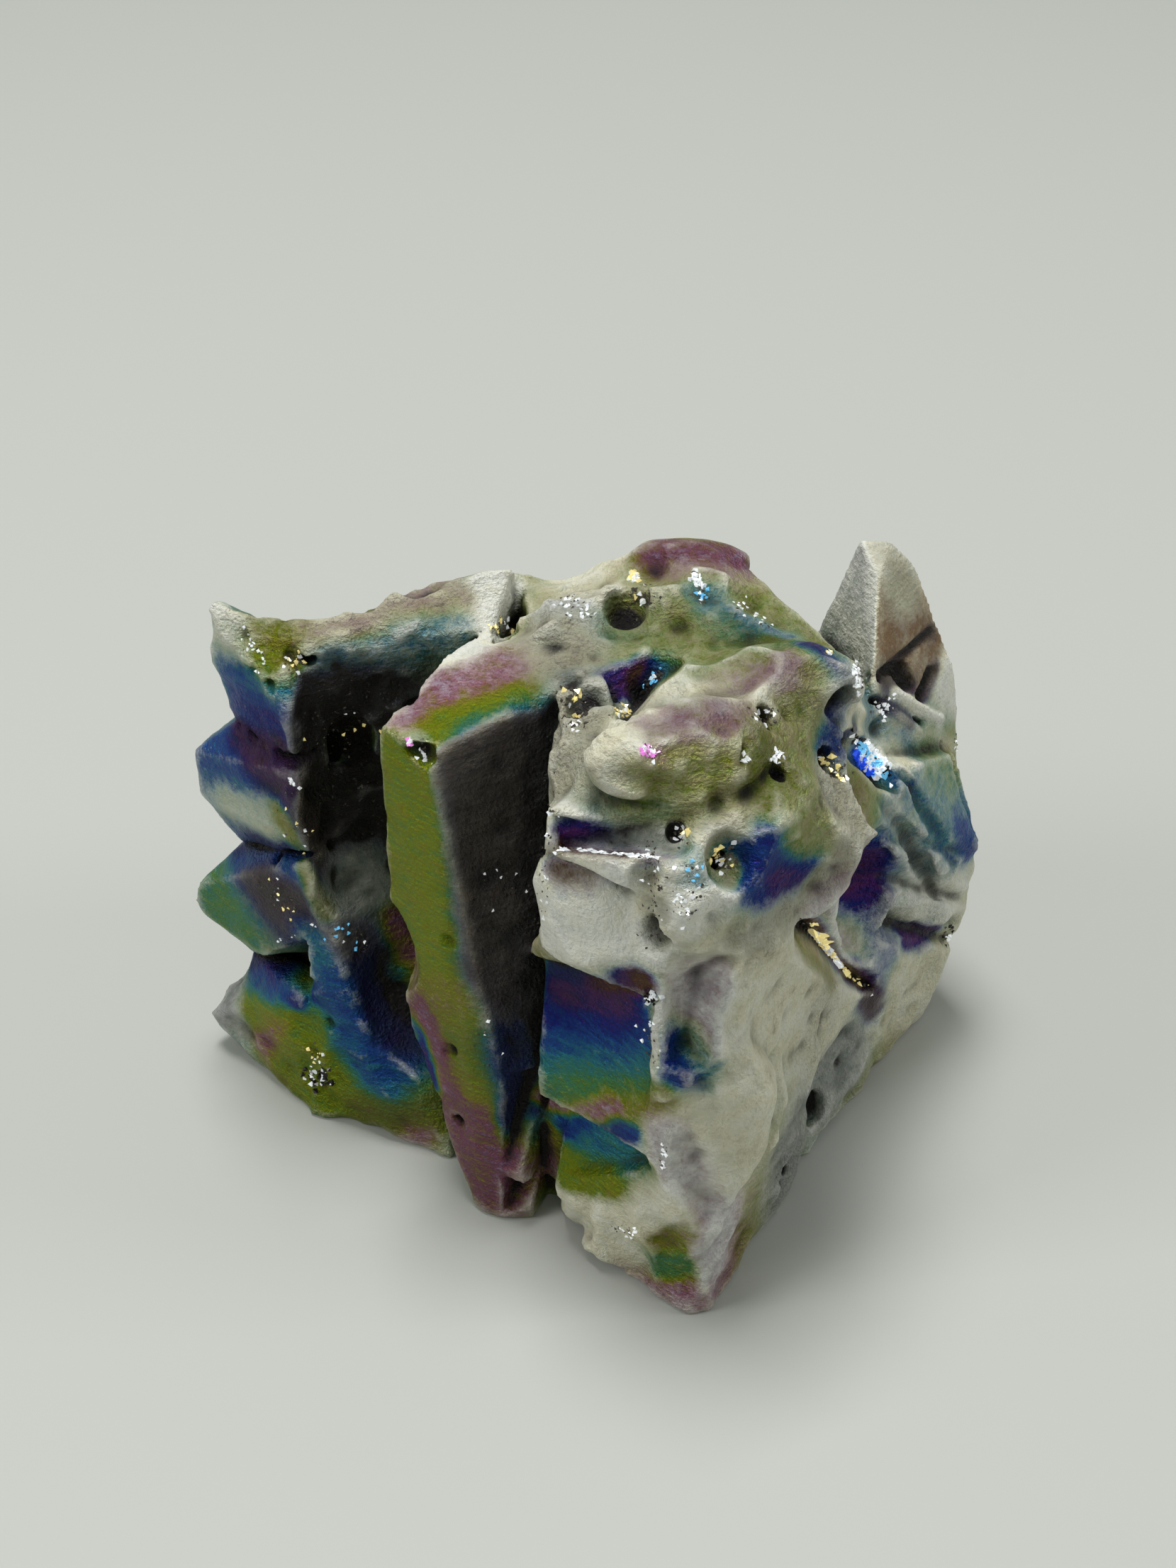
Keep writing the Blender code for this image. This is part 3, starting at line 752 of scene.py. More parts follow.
# Cuts that stay crisp: how far round them, how crisp, and the places they run through
CRISP = {
    "tongue's end": (3.2, 1.0, [(-14.0, -18.0, 46.0), (-13.0, -18.0, 28.0), (-8.0, -22.0, 4.0)]),
    "tongue's foot": (4.6, 1.0, [(-8.0, -22.0, 6.0), (-4.0, -25.0, 0.0)]),
    "tongue's flank": (3.0, 1.0, [(-9.0, -12.0, 50.0), (-9.0, -16.0, 30.0), (-6.0, -20.0, 8.0)]),
    "teeth": (3.4, 1.0, [(-0.6, -27.4, 46.0), (0.6, -28.0, 6.0)]),
    "brow cut": (2.0, 1.0, [(15.6, -21.4, 34.4), (24.6, -8.2, 14.0)]),
    "eye cut": (2.0, 1.0, [(19.0, -12.6, 46.6), (25.0, -6.0, 35.0)]),
    "ear horn": (9.0, 1.0, [(25.0, 6.0, 52.0), (29.0, 4.0, 42.0), (31.0, 3.0, 34.0)]),
    "jaw's spikes": (5.0, 0.7, [(-33.0, -2.0, 34.0), (-30.0, -6.0, 12.0)]),
}

# The smooth facets of the nose, which have no chips, and how far round these pixels
NOSE_FACETS = ((1100, 1390), (1090, 1500), (1060, 1640), (1110, 1600), (1180, 1470))
FACET_REACH = 4.6

# Where natural crystal shows, where the rim is broken, and where the cheek crumbles,
# each as how far round, how strongly, and the places it runs through
DRUSY = {
    "jaw's cavity": (5.5, 1.0, [(-20.0, -4.0, 40.0), (-16.0, -4.0, 30.0)]),
    "tongue's flank": (5.0, 0.8, [(-5.0, -10.0, 36.0), (-7.0, -16.0, 14.0)]),
}
BROKEN = {"rim": (2.6, 1.0, [(-27.0, -0.6, 51.4), (-12.0, 3.0, 51.6)])}
CRUMBLING = {
    "grainy strip": (2.6, 1.0, [(-1.0, -20.0, 48.0), (-1.0, -2.0, 50.0)]),
    "first petal": (3.2, 0.85, [(2.0, -22.0, 47.0), (16.0, -20.0, 44.0)]),
    "second petal": (3.2, 0.85, [(10.0, -18.0, 49.0), (19.0, -14.0, 46.0)]),
    "field": (3.2, 0.85, [(3.0, -4.0, 51.0), (16.0, -7.0, 50.0)]),
    "below the brow": (3.2, 0.85, [(21.0, -17.0, 20.0), (17.0, -22.0, 4.0)]),
    "brow": (3.2, 0.85, [(18.0, -16.0, 42.0), (14.0, -24.0, 40.0)]),
}


def spread(clay, areas):
    """The strongest of the areas at each cell."""
    share = np.zeros_like(clay.field)
    for reach, strength, places in areas.values():
        share = np.maximum(share, strength * clay.near(places, reach))
    return share


def roughen(clay, soft):
    """Wears the saw cuts and leaves the grain, chips and druse of the lump."""
    crisp = spread(clay, CRISP)
    worn = clay.blurred(0.26)
    clay.field = worn + (clay.field - worn) * np.clip(0.35 + crisp, 0.0, 1.0)
    facets = clay.near(list(clay.seen(NOSE_FACETS)), FACET_REACH)
    chip(clay, soft, np.maximum(crisp, facets))
    druse = spread(clay, DRUSY)
    broken = spread(clay, BROKEN)
    cheek = spread(clay, CRUMBLING)
    swell = clay.noise(6.5, 11) * 0.16 + clay.noise(3.0, 12) * 0.15
    grain = clay.noise(1.4, 13) * 0.12 + clay.noise(0.8, 16) * 0.1
    crust = np.abs(clay.noise(2.2, 14)) * 0.62 + np.abs(clay.noise(1.1, 15)) * 0.42
    folds = np.abs(clay.noise(3.6, 17)) * 0.7 + np.abs(clay.noise(1.7, 18)) * 0.4
    clay.field += (swell + grain) * (1.0 - 0.7 * crisp)
    clay.field += (crust - 0.35) * np.clip(druse + 0.8 * broken + 0.2 * cheek, 0.0, 1.0)
    clay.field += (folds - 0.5) * 0.75 * np.clip(cheek - crisp, 0.0, 1.0)
    return np.clip(druse + broken + cheek, 0.0, 1.0), crisp


# Natural pockets: the photo's pixel of each, and its size in millimetres
PITS = {
    "jaw tip, upper": (345, 895, 0.5),
    "jaw tip, middle": (355, 945, 0.5),
    "jaw tip, lower": (380, 970, 0.5),
    "jaw socket": (415, 932, 1.3),
    "jaw flank": (470, 1055, 1.5),
    "third tooth, left": (388, 1212, 0.9),
    "bowl, upper": (465, 1445, 0.6),
    "bowl, middle": (445, 1485, 0.8),
    "bowl, lower": (425, 1555, 0.6),
    "bowl, edge": (445, 1522, 1.1),
    "tongue corner": (600, 1060, 1.3),
    "tongue edge": (625, 1325, 0.8),
    "tongue, lower": (630, 1480, 0.6),
    "tongue, foot": (650, 1580, 0.8),
    "mouth's corner": (812, 990, 2.0),
    "rim hollow": (708, 885, 1.5),
    "temple": (905, 838, 2.1),
    "brow": (1085, 1000, 1.3),
    "cheek, right": (1100, 1085, 0.9),
    "cheek, crystal": (1050, 1066, 0.6),
    "eye's corner": (1180, 1075, 1.4),
    "nostril": (1022, 1205, 2.2),
    "lip block": (960, 1168, 1.1),
    "second tooth, right": (918, 1405, 0.8),
    "under the nose": (1105, 1660, 0.7),
}


def open_pits(clay, soft):
    """Natural pockets, each a cluster of three overlapping hollows so that none is round."""
    chance = np.random.default_rng(61)
    places = clay.seen([(u, v) for u, v, _ in PITS.values()])
    facing = clay.slope(soft, places)
    for place, out, (_, _, size) in zip(places, facing, PITS.values()):
        for share in (0.8, 0.6, 0.5):
            shift = chance.normal(0.0, 0.42 * size, 3)
            radii = size * share * chance.uniform(0.7, 1.3, 3)
            clay.cut(ball(place - out * 0.2 * size + shift, radii, turn=chance.uniform(0, 180)), 0.15)
    return places, facing


# Painting. Each colour is its place on the order of interference colours, how bare
# of coating the stone is, how dark it is, and how warm the bare stone is.

# The darkness is partly the stone's own dark colour and partly painted shade, which the markings for the
# mouth, the valleys, the tongue's flank and the recesses under overhangs carry.
COLOURS = {
    "amber": (0.03, -0.2, 0.1, 0.6),
    "brown": (0.08, 0.0, 0.55, 0.6),
    "purple": (0.19, -0.25, 0.0, 0.3),
    "plum": (0.17, -0.25, 0.42, 0.3),
    "deep_blue": (0.29, -0.25, 0.0, 0.3),
    "navy": (0.29, -0.2, 0.6, 0.3),
    "blue": (0.38, -0.15, -0.1, 0.3),
    "teal": (0.48, -0.1, -0.1, 0.3),
    "green": (0.58, -0.1, -0.05, 0.4),
    "yellow_green": (0.68, -0.3, -0.05, 0.5),
    "olive": (0.74, 0.0, 0.12, 0.5),
    "moss": (0.72, -0.1, 0.55, 0.5),
    "pink": (0.86, 0.1, 0.05, 0.4),
    "rose": (0.86, -0.1, 0.36, 0.4),
    "lavender": (0.93, 0.72, -0.05, 0.2),
    "cream": (0.75, 0.95, -0.1, 0.55),
    "white": (0.75, 1.1, -0.15, 0.35),
    "grey": (0.6, 0.9, 0.3, 0.1),
    "silver": (0.6, 0.95, 0.0, 0.16),
    "sand": (0.75, 0.95, 0.04, 0.55),
    "gravel": (0.75, 0.8, 0.4, 0.55),
    "tan": (0.1, 1.0, 0.1, 1.0),
    "pale_green": (0.6, 0.6, 0.05, 0.4),
    "charcoal": (0.2, 0.4, 0.82, 0.3),
    "slate": (0.1, 0.5, 0.86, 0.8),
    "black": (0.2, 0.1, 1.0, 0.3),
    "dark_brown": (0.05, 0.1, 0.85, 0.8),
    "dusky": (0.84, 0.5, 0.25, 0.6),
    "soft_olive": (0.71, 0.2, 0.12, 0.55),
    "soft_green": (0.62, 0.2, 0.1, 0.4),
    "soft_teal": (0.48, 0.2, 0.05, 0.3),
    "soft_purple": (0.86, 0.22, 0.36, 0.4),
    "soft_blue": (0.36, 0.3, 0.0, 0.3),
}

# Each marking: its colour, how far it reaches in millimetres, and the photo's pixels
# that its middle runs through
MARKINGS = {
    "jaw tip": ("pale_green", 1.6, (310, 870), (320, 905)),
    "jaw tip rim": ("dusky", 0.9, (320, 848), (390, 866)),
    "jaw tip inner": ("olive", 1.6, (395, 890), (375, 955)),
    "jaw tip flank, upper": ("blue", 1.2, (330, 950), (390, 985)),
    "jaw tip flank, lower": ("deep_blue", 1.4, (355, 1000), (395, 1025)),
    "first valley": ("plum", 1.2, (340, 1035), (405, 1085)),
    "second tooth": ("blue", 1.8, (300, 1065), (320, 1085)),
    "second tooth, right": ("plum", 1.4, (370, 1065), (405, 1095)),
    "second tooth flank": ("pale_green", 1.5, (330, 1130), (375, 1165)),
    "second tooth rim": ("olive", 0.8, (395, 1160), (440, 1240), (458, 1285)),
    "third tooth, upper": ("blue", 1.2, (355, 1195), (415, 1210)),
    "third tooth, inner": ("dark_brown", 2.2, (380, 1245), (415, 1285)),
    "third tooth, outer": ("green", 1.6, (300, 1255), (320, 1290)),
    "third tooth, corner": ("teal", 1.2, (430, 1310), (450, 1340)),
    "third valley": ("purple", 1.2, (385, 1360), (415, 1400)),
    "fourth tooth": ("grey", 1.4, (320, 1400), (330, 1430)),
    "fourth tooth, blue": ("blue", 0.9, (365, 1385), (385, 1405)),
    "fourth tooth, green": ("yellow_green", 1.2, (350, 1435), (390, 1430)),
    "fourth tooth, edge": ("pink", 0.9, (365, 1465), (400, 1445)),
    "bowl, left": ("yellow_green", 2.8, (430, 1380), (430, 1460), (470, 1540)),
    "bowl, middle": ("blue", 1.6, (480, 1390), (500, 1470), (540, 1520)),
    "bowl, right": ("navy", 2.2, (520, 1360), (550, 1450)),
    "bowl, foot": ("moss", 1.8, (510, 1560), (560, 1570)),
    "bowl, edge": ("pink", 0.9, (430, 1560), (500, 1590), (590, 1598)),
    "rim, broken": ("dusky", 1.3, (430, 865), (520, 850), (600, 830)),
    "rim, green": ("dusky", 1.0, (450, 893), (560, 868), (650, 850)),
    "rim, blue": ("soft_teal", 1.0, (560, 893), (650, 878)),
    "rim, foot": ("soft_teal", 1.0, (440, 920), (540, 915), (640, 900)),
    "rim, white": ("white", 1.2, (680, 800), (700, 850), (650, 925)),
    # Painted shade: the jaw's cavity is darkened to black and dark brown where shade falls in it.
    "jaw cavity": ("black", 4.0, (470, 1000), (500, 1120)),
    "jaw cavity, brown": ("dark_brown", 2.4, (430, 1130), (460, 1180)),
    "jaw blob": ("grey", 2.0, (490, 1200), (500, 1250)),
    "jaw ledge": ("charcoal", 1.6, (480, 1320), (510, 1330)),
    "tongue top": ("pink", 2.0, (590, 985), (660, 960), (700, 950)),
    "tongue top, edge": ("yellow_green", 1.2, (640, 1015), (740, 975)),
    "tongue top, rim": ("teal", 0.7, (660, 1025), (770, 985)),
    "tongue, upper": ("yellow_green", 2.0, (560, 1080), (575, 1140)),
    "tongue, middle": ("yellow_green", 2.2, (590, 1180), (605, 1330)),
    "tongue, left": ("rose", 1.2, (560, 1300), (575, 1370), (600, 1450)),
    "tongue, right": ("olive", 1.4, (640, 1400), (665, 1480), (680, 1530)),
    "tongue, lower left": ("rose", 1.1, (606, 1455), (640, 1545)),
    "tongue, foot": ("rose", 2.0, (670, 1600), (700, 1680)),
    # Painted shade: the tongue's flank, turned from the light deep in the mouth, is darkened slate and navy.
    "tongue flank": ("slate", 4.0, (690, 1060), (700, 1200), (700, 1350)),
    "tongue flank, lower": ("navy", 2.0, (690, 1480), (720, 1560)),
    "shelf, left": ("purple", 0.8, (800, 1172), (850, 1168)),
    "shelf": ("grey", 1.2, (880, 1185), (930, 1185)),
    "first crest": ("amber", 0.6, (785, 1198), (930, 1210)),
    "first tooth, patch": ("amber", 0.9, (790, 1230), (825, 1240)),
    "first tooth": ("white", 2.2, (790, 1300), (850, 1290), (820, 1260)),
    "first tooth, rough": ("gravel", 1.2, (922, 1210), (930, 1290)),
    "lip bump": ("white", 1.4, (965, 1285), (990, 1270)),
    "lip bump, side": ("teal", 1.0, (990, 1245), (975, 1200)),
    "second tooth top": ("amber", 0.8, (850, 1385), (910, 1392)),
    # Partly painted shade: plum coating, darkened where the second tooth's top lies recessed under the first
    # tooth's overhang.
    "second tooth, dark": ("plum", 1.0, (790, 1400), (880, 1425)),
    "second tooth, blue": ("deep_blue", 0.9, (780, 1435), (900, 1445)),
    "second tooth, cyan": ("blue", 0.9, (775, 1475), (900, 1475)),
    "second tooth, teal": ("teal", 0.9, (780, 1500), (900, 1505)),
    "second tooth, green": ("green", 0.9, (775, 1530), (910, 1530)),
    "second tooth, foot": ("pink", 0.8, (770, 1550), (870, 1565)),
    "second tooth, side": ("deep_blue", 1.2, (950, 1470), (965, 1515)),
    "second tooth, olive": ("olive", 0.9, (890, 1565), (940, 1555)),
    "third tooth top": ("deep_blue", 0.6, (800, 1590), (890, 1602)),
    "third tooth, teal": ("teal", 1.0, (830, 1615), (880, 1620)),
    "third tooth, green": ("yellow_green", 1.2, (800, 1650), (850, 1665)),
    "third tooth, foot": ("sand", 1.2, (800, 1705), (870, 1725), (940, 1715)),
    "third tooth, side": ("lavender", 1.6, (940, 1600), (960, 1650)),
    "fourth block": ("sand", 1.0, (840, 1750), (900, 1765)),
    "nose tip, upper": ("olive", 1.0, (930, 1745), (970, 1740)),
    "nose tip, middle": ("green", 1.0, (920, 1780), (960, 1785)),
    "nose tip": ("pink", 1.2, (940, 1830), (980, 1835)),
    "nose, lavender": ("lavender", 2.0, (980, 1400), (990, 1460)),
    "nose, face": ("sand", 4.0, (1060, 1420), (1080, 1500), (1040, 1600)),
    "nose, edge": ("lavender", 1.4, (1010, 1720), (1000, 1780)),
    "nose, brow side": ("sand", 3.0, (1160, 1440), (1120, 1380)),
    # Painted shade: the face under the nose, turned away from the light, is greyed and darkened.
    "under the nose": ("grey", 2.0, (1125, 1600), (1110, 1650)),
    "blue patch": ("deep_blue", 1.6, (1080, 1195), (1085, 1225)),
    "blue patch, foot": ("purple", 1.0, (1090, 1245), (1130, 1235)),
    "nostril rim": ("gravel", 1.0, (1000, 1170), (1050, 1155)),
    "brow crest": ("gravel", 1.4, (1210, 1170), (1160, 1240), (1060, 1330)),
    "brow bulge": ("gravel", 1.8, (1180, 1130), (1200, 1150)),
    "cheek, olive": ("soft_olive", 2.0, (1100, 1110), (1140, 1160)),
    "brow hollow": ("purple", 1.8, (1218, 1205), (1212, 1255)),
    "brow hollow, blue": ("soft_blue", 1.8, (1235, 1300), (1250, 1335)),
    "brow hollow, pale": ("lavender", 1.6, (1160, 1275), (1200, 1320)),
    "brow cut, upper": ("amber", 0.9, (1140, 1300), (1200, 1375)),
    "brow cut, facet": ("olive", 1.0, (1125, 1330), (1170, 1380)),
    "brow cut, foot": ("brown", 0.8, (1225, 1400), (1240, 1420)),
    "eye cut": ("blue", 1.0, (1210, 1060), (1245, 1095)),
    # Painted shade: the deep ends of the eye cut are darkened to black.
    "eye cut, ends": ("black", 0.8, (1200, 1030), (1200, 1035)),
    "eye cut, foot": ("black", 0.8, (1255, 1105), (1265, 1115)),
    "mane, near": ("soft_teal", 2.0, (1260, 1150), (1310, 1220)),
    "mane, grey": ("soft_teal", 1.4, (1290, 1130), (1345, 1215)),
    "mane, far": ("soft_teal", 1.4, (1330, 1100), (1360, 1150)),
    "mane, tip": ("blue", 1.4, (1370, 1180), (1375, 1200)),
    "mane, edge": ("soft_olive", 1.0, (1340, 1060), (1365, 1130)),
    "mane, foot": ("sand", 2.0, (1290, 1250), (1340, 1260)),
    "mane, crystals": ("purple", 0.8, (1275, 1315), (1315, 1310)),
    "nape facet": ("cream", 2.0, (1300, 1390), (1265, 1400)),
    "brow foot": ("grey", 2.0, (1190, 1480), (1160, 1530)),
    "crest": ("rose", 1.4, (940, 785), (1020, 790)),
    "crest, right": ("soft_olive", 1.4, (1050, 840), (1110, 890)),
    "crest, dark": ("soft_blue", 0.8, (1040, 860), (1110, 900)),
    "cheek, field": ("soft_olive", 2.6, (880, 870), (950, 900), (1000, 930)),
    "knob": ("soft_teal", 1.2, (985, 835), (1010, 840)),
    "recess, left": ("purple", 0.9, (860, 950), (870, 965)),
    "recess, middle": ("amber", 0.9, (890, 960), (905, 940)),
    "recess, right": ("blue", 0.9, (920, 960), (935, 945)),
    # Painted shade: the pit at the mouth's corner is darkened to charcoal.
    "mouth's corner": ("charcoal", 1.2, (800, 960), (820, 1000)),
    "grainy strip": ("gravel", 2.4, (800, 900), (800, 1040), (795, 1120)),
    "petal tip": ("cream", 1.4, (855, 1040), (880, 1045)),
    "petal glint": ("pink", 0.8, (912, 1055), (918, 1062)),
    "petal top": ("soft_purple", 1.9, (935, 1014), (1000, 1005), (1070, 990)),
    "petal under": ("soft_olive", 2.0, (900, 1110), (980, 1120), (1040, 1090)),
    "second petal": ("soft_purple", 1.6, (1050, 960), (1110, 945)),
    "brow corner": ("soft_olive", 1.4, (1150, 940), (1170, 980)),
    "brow edge": ("deep_blue", 1.0, (1175, 1000), (1180, 1040)),
    "lip": ("pale_green", 1.4, (850, 1130), (820, 1130)),
    "cheek, far left": ("soft_teal", 1.2, (850, 870), (860, 900)),
    "cheek, grey band": ("sand", 1.4, (950, 975), (1010, 960)),
    "cheek, right field": ("moss", 1.4, (1080, 1040), (1110, 1100)),
    "cheek, temple": ("sand", 1.4, (860, 825), (820, 840)),
    "knob, left": ("grey", 1.2, (800, 855), (830, 870)),
    "lower lip": ("soft_olive", 1.2, (980, 1150), (1040, 1140)),
    "horn, foot left": ("grey", 1.6, (1185, 960), (1190, 1000)),
    "horn, foot, teal": ("soft_teal", 1.2, (1225, 1010), (1290, 1040)),
    "nostril rim, upper": ("gravel", 1.2, (985, 1180), (1010, 1165), (1045, 1160)),
    "mane, foot pale": ("silver", 1.6, (1285, 1238), (1335, 1262)),
    "mane, top": ("soft_green", 1.4, (1300, 1050), (1335, 1100)),
    "mane, ridge": ("soft_green", 1.0, (1235, 1105), (1275, 1165)),
    "horn, left": ("silver", 4.0, (1190, 850), (1200, 900)),
    "horn, tip": ("gravel", 2.0, (1250, 790), (1270, 830)),
    "horn, brown": ("tan", 2.2, (1260, 890), (1300, 910)),
    "horn, lattice": ("dark_brown", 0.7, (1240, 955), (1275, 965)),
    "cheek, moss": ("moss", 0.8, (1045, 1085), (1100, 1130)),
    "cheek, moss below the crest": ("moss", 0.8, (1030, 870), (1090, 905)),
    "cheek, teal by the crest": ("soft_teal", 0.9, (1000, 862), (1060, 890)),
    "cheek, grey fold": ("gravel", 0.9, (900, 1000), (960, 985), (1040, 985)),
    "cheek, left fold": ("gravel", 1.0, (850, 1080), (870, 1110)),
    "cheek, left teal": ("soft_green", 1.0, (870, 1135), (930, 1140)),
    "petal, pale": ("cream", 0.8, (870, 1018), (920, 1008)),
    "second petal, pale": ("sand", 0.8, (1030, 985), (1090, 975)),
    "brow corner, plum": ("plum", 0.8, (1150, 915), (1175, 935)),
    "brow corner, dark": ("navy", 0.8, (1188, 960), (1186, 1010)),
    "slot wall": ("blue", 0.9, (1178, 1020), (1168, 1050)),
    "mane, stripe": ("teal", 0.8, (1268, 1110), (1335, 1185)),
    "mane, dark stripe": ("navy", 0.4, (1284, 1112), (1345, 1218)),
    "mane, pale stripe": ("silver", 0.7, (1250, 1145), (1300, 1215)),
    "mane, blue tip": ("deep_blue", 0.9, (1352, 1160), (1376, 1196)),
    "cheek, olive right": ("soft_olive", 1.8, (1085, 1030), (1115, 1080), (1120, 1130)),
    "cheek, olive left": ("soft_olive", 1.4, (880, 880), (870, 915)),
    "cheek, olive under the second petal": ("soft_olive", 1.0, (1080, 1000), (1140, 985)),
    "cheek, lilac": ("soft_purple", 1.0, (1010, 955), (1050, 940), (1100, 930)),
    "brow foot, lit": ("sand", 1.2, (1130, 1400), (1190, 1430)),
    # Painted shade: the jaw's slot, the valleys between the spikes and the bowl's deep side are darkened
    # black and navy.
    "lower jaw, dark slot": ("black", 0.5, (425, 962), (478, 958)),
    "third valley, dark": ("navy", 0.7, (360, 1352), (410, 1368)),
    "first valley, dark": ("black", 0.5, (395, 1050), (418, 1090)),
    "second valley, dark": ("navy", 0.7, (345, 1192), (420, 1196)),
    "bowl, dark": ("black", 1.0, (540, 1340), (560, 1420)),
    "crest, pale": ("dusky", 1.2, (960, 800), (1040, 812)),
    "tongue, lilac edge": ("pink", 0.7, (572, 1360), (596, 1440), (625, 1530)),
    "tongue, purple edge": ("purple", 0.6, (566, 1370), (588, 1450), (612, 1520)),
    "brow hollow, left": ("soft_purple", 1.2, (1190, 1230), (1160, 1262)),
    "second tooth, edge": ("teal", 0.6, (975, 1455), (995, 1500)),
    "second tooth, amber": ("amber", 0.5, (835, 1380), (905, 1384)),
    "third tooth, blue line": ("blue", 0.5, (795, 1584), (895, 1594)),
    "horn, slit": ("dark_brown", 0.5, (1250, 945), (1312, 886)),
    "horn, second slit": ("dark_brown", 0.5, (1294, 984), (1316, 942)),
    "horn, lower cells": ("dark_brown", 0.6, (1242, 992), (1288, 1020)),
    "horn, bar": ("white", 0.4, (1216, 938), (1264, 980), (1330, 1018)),
    "horn, lower bar": ("cream", 0.4, (1208, 966), (1264, 1016), (1345, 1052)),
    # Painted shadow: the recesses under the overhanging first and second teeth are darkened navy.
    "under the first tooth": ("navy", 0.6, (757, 1352), (820, 1372), (884, 1388)),
    "under the second tooth": ("navy", 0.5, (760, 1570), (880, 1590)),
    "cheek, green band": ("soft_green", 1.2, (880, 900), (990, 940)),
    "cheek, violet": ("soft_green", 1.2, (1010, 880), (1060, 920)),
    "cheek, ochre": ("soft_olive", 1.4, (1140, 1010), (1120, 1050)),
    "horn, rim": ("white", 1.4, (1340, 950), (1350, 1020)),
    "horn, band": ("cream", 1.4, (1200, 990), (1260, 1060)),
    "horn, foot": ("soft_green", 1.6, (1310, 1060), (1340, 1080)),
    "neck": ("cream", 2.0, (760, 800), (840, 800)),
}


# How little the muted colour under all the markings weighs against them
BASE_WEIGHT = 0.012


def paint(clay, stone, rough, smooth_cuts):
    """Writes the coating, the bare stone and the darkness, with painted shade in pits and hollows, as values
    on the stone's points.
    """
    count = len(stone.data.vertices)
    places = np.zeros(count * 3, np.float32)
    stone.data.vertices.foreach_get("co", places)
    places = places.reshape(-1, 3) / MM - LAYOUT_SHIFT
    soft = clay.blurred(0.6)
    deep = clay.blurred(2.6)
    facing = clay.slope(soft, places)
    # How deep each point lies in a broad hollow, used below for painted shade.
    hollow = -clay.read(deep, places)
    warp = np.stack([clay.read(clay.noise(2.6, 31 + axis), places) for axis in range(3)], axis=1)
    warp += 0.5 * np.stack([clay.read(clay.noise(1.1, 41 + axis), places) for axis in range(3)], axis=1)
    moved = places + 0.36 * warp
    drift = clay.read(clay.noise(12.0, 21), places)
    streak = clay.read(clay.noise(5.0, 23), places)
    patch = clay.read(clay.noise(8.0, 22), places)
    values = np.stack(
        [
            np.clip(0.68 + 0.12 * drift + 0.1 * streak, 0.0, 1.0),
            0.1 + 0.36 * smooth_step(-0.2, 1.4, patch),
            0.16 + 0.14 * np.clip(streak, 0.0, 1.0),
            0.52 + 0.1 * drift,
        ],
        axis=1,
    ) * BASE_WEIGHT
    total = np.full((count, 4), BASE_WEIGHT)
    for colour, reach, *pixels in MARKINGS.values():
        run = clay.seen(pixels)
        out = clay.slope(soft, run)
        nearest = np.full(count, 1e3)
        toward = np.zeros((count, 3))
        pairs = [(0, 0)] if len(run) == 1 else list(zip(range(len(run)), range(1, len(run))))
        for first, second in pairs:
            line = run[second] - run[first]
            t = np.clip((moved - run[first]) @ line / max(line @ line, 1e-6), 0.0, 1.0)[:, None]
            gap = np.linalg.norm(moved - run[first] - t * line, axis=1)
            closer = gap < nearest
            nearest = np.where(closer, gap, nearest)
            toward = np.where(closer[:, None], out[first] + t * (out[second] - out[first]), toward)
        agree = np.einsum("ij,ij->i", facing, toward)
        weight = np.exp(2.4 - 2.4 * np.sqrt(1.0 + (nearest / reach) ** 2)) * smooth_step(0.35, 0.9, agree)
        film, bare, dark, warm = COLOURS[colour]
        shares = np.stack([weight * (1.0 - 0.9 * min(max(bare, dark), 1.0)), weight, weight, weight], axis=1)
        values += shares * (film, bare, dark, warm)
        total += shares
    values /= total
    # Painted shade: points in small pits and creases (pit) and deep in broad hollows (hollow) are darkened;
    # convex edges (edge) are made whiter and less dark.
    fine = clay.read(clay.blurred(0.5), places)
    medium = clay.read(clay.blurred(1.2), places)
    pit = smooth_step(0.02, 0.16, -fine) * 0.4 + smooth_step(0.05, 0.5, -medium) * 0.4
    edge = smooth_step(0.04, 0.2, fine) * 0.35 + smooth_step(0.1, 0.5, medium) * 0.15
    values[:, 2] += pit + smooth_step(0.5, 1.6, hollow) * 0.4 - 0.3 * edge
    values[:, 1] += edge - 0.3 * pit
    crumbly = 0.25 + clay.read(rough, places) - 0.3 * clay.read(smooth_cuts, places)
    columns = [*values.T, np.clip(crumbly, 0.0, 1.0)]
    for name, column in zip(("film", "bare", "dark", "warm", "rough"), columns):
        layer = stone.data.attributes.new(name, "FLOAT", "POINT")
        layer.data.foreach_set("value", column.astype(np.float32))


# The order of interference colours over the coating's thickness, as sRGB out of 255
FILM_COLOURS = {
    0.00: (96, 66, 24),
    0.09: (72, 42, 38),
    0.18: (80, 36, 96),
    0.28: (14, 26, 108),
    0.38: (22, 68, 130),
    0.48: (40, 112, 122),
    0.58: (66, 118, 66),
    0.68: (112, 126, 4),
    0.77: (128, 118, 34),
    0.86: (134, 72, 100),
    0.94: (150, 130, 158),
    1.00: (140, 152, 136),
}

# Bare stone from cool to warm
STONE_COLOURS = {
    0.00: (140, 142, 140),
    0.35: (224, 224, 214),
    0.60: (214, 210, 184),
    1.00: (120, 92, 56),
}


def linear(colour):
    """An sRGB colour out of 255 as the linear one that shaders use."""
    shares = [channel / 255.0 for channel in colour]
    return [s / 12.92 if s <= 0.04045 else ((s + 0.055) / 1.055) ** 2.4 for s in shares] + [1.0]


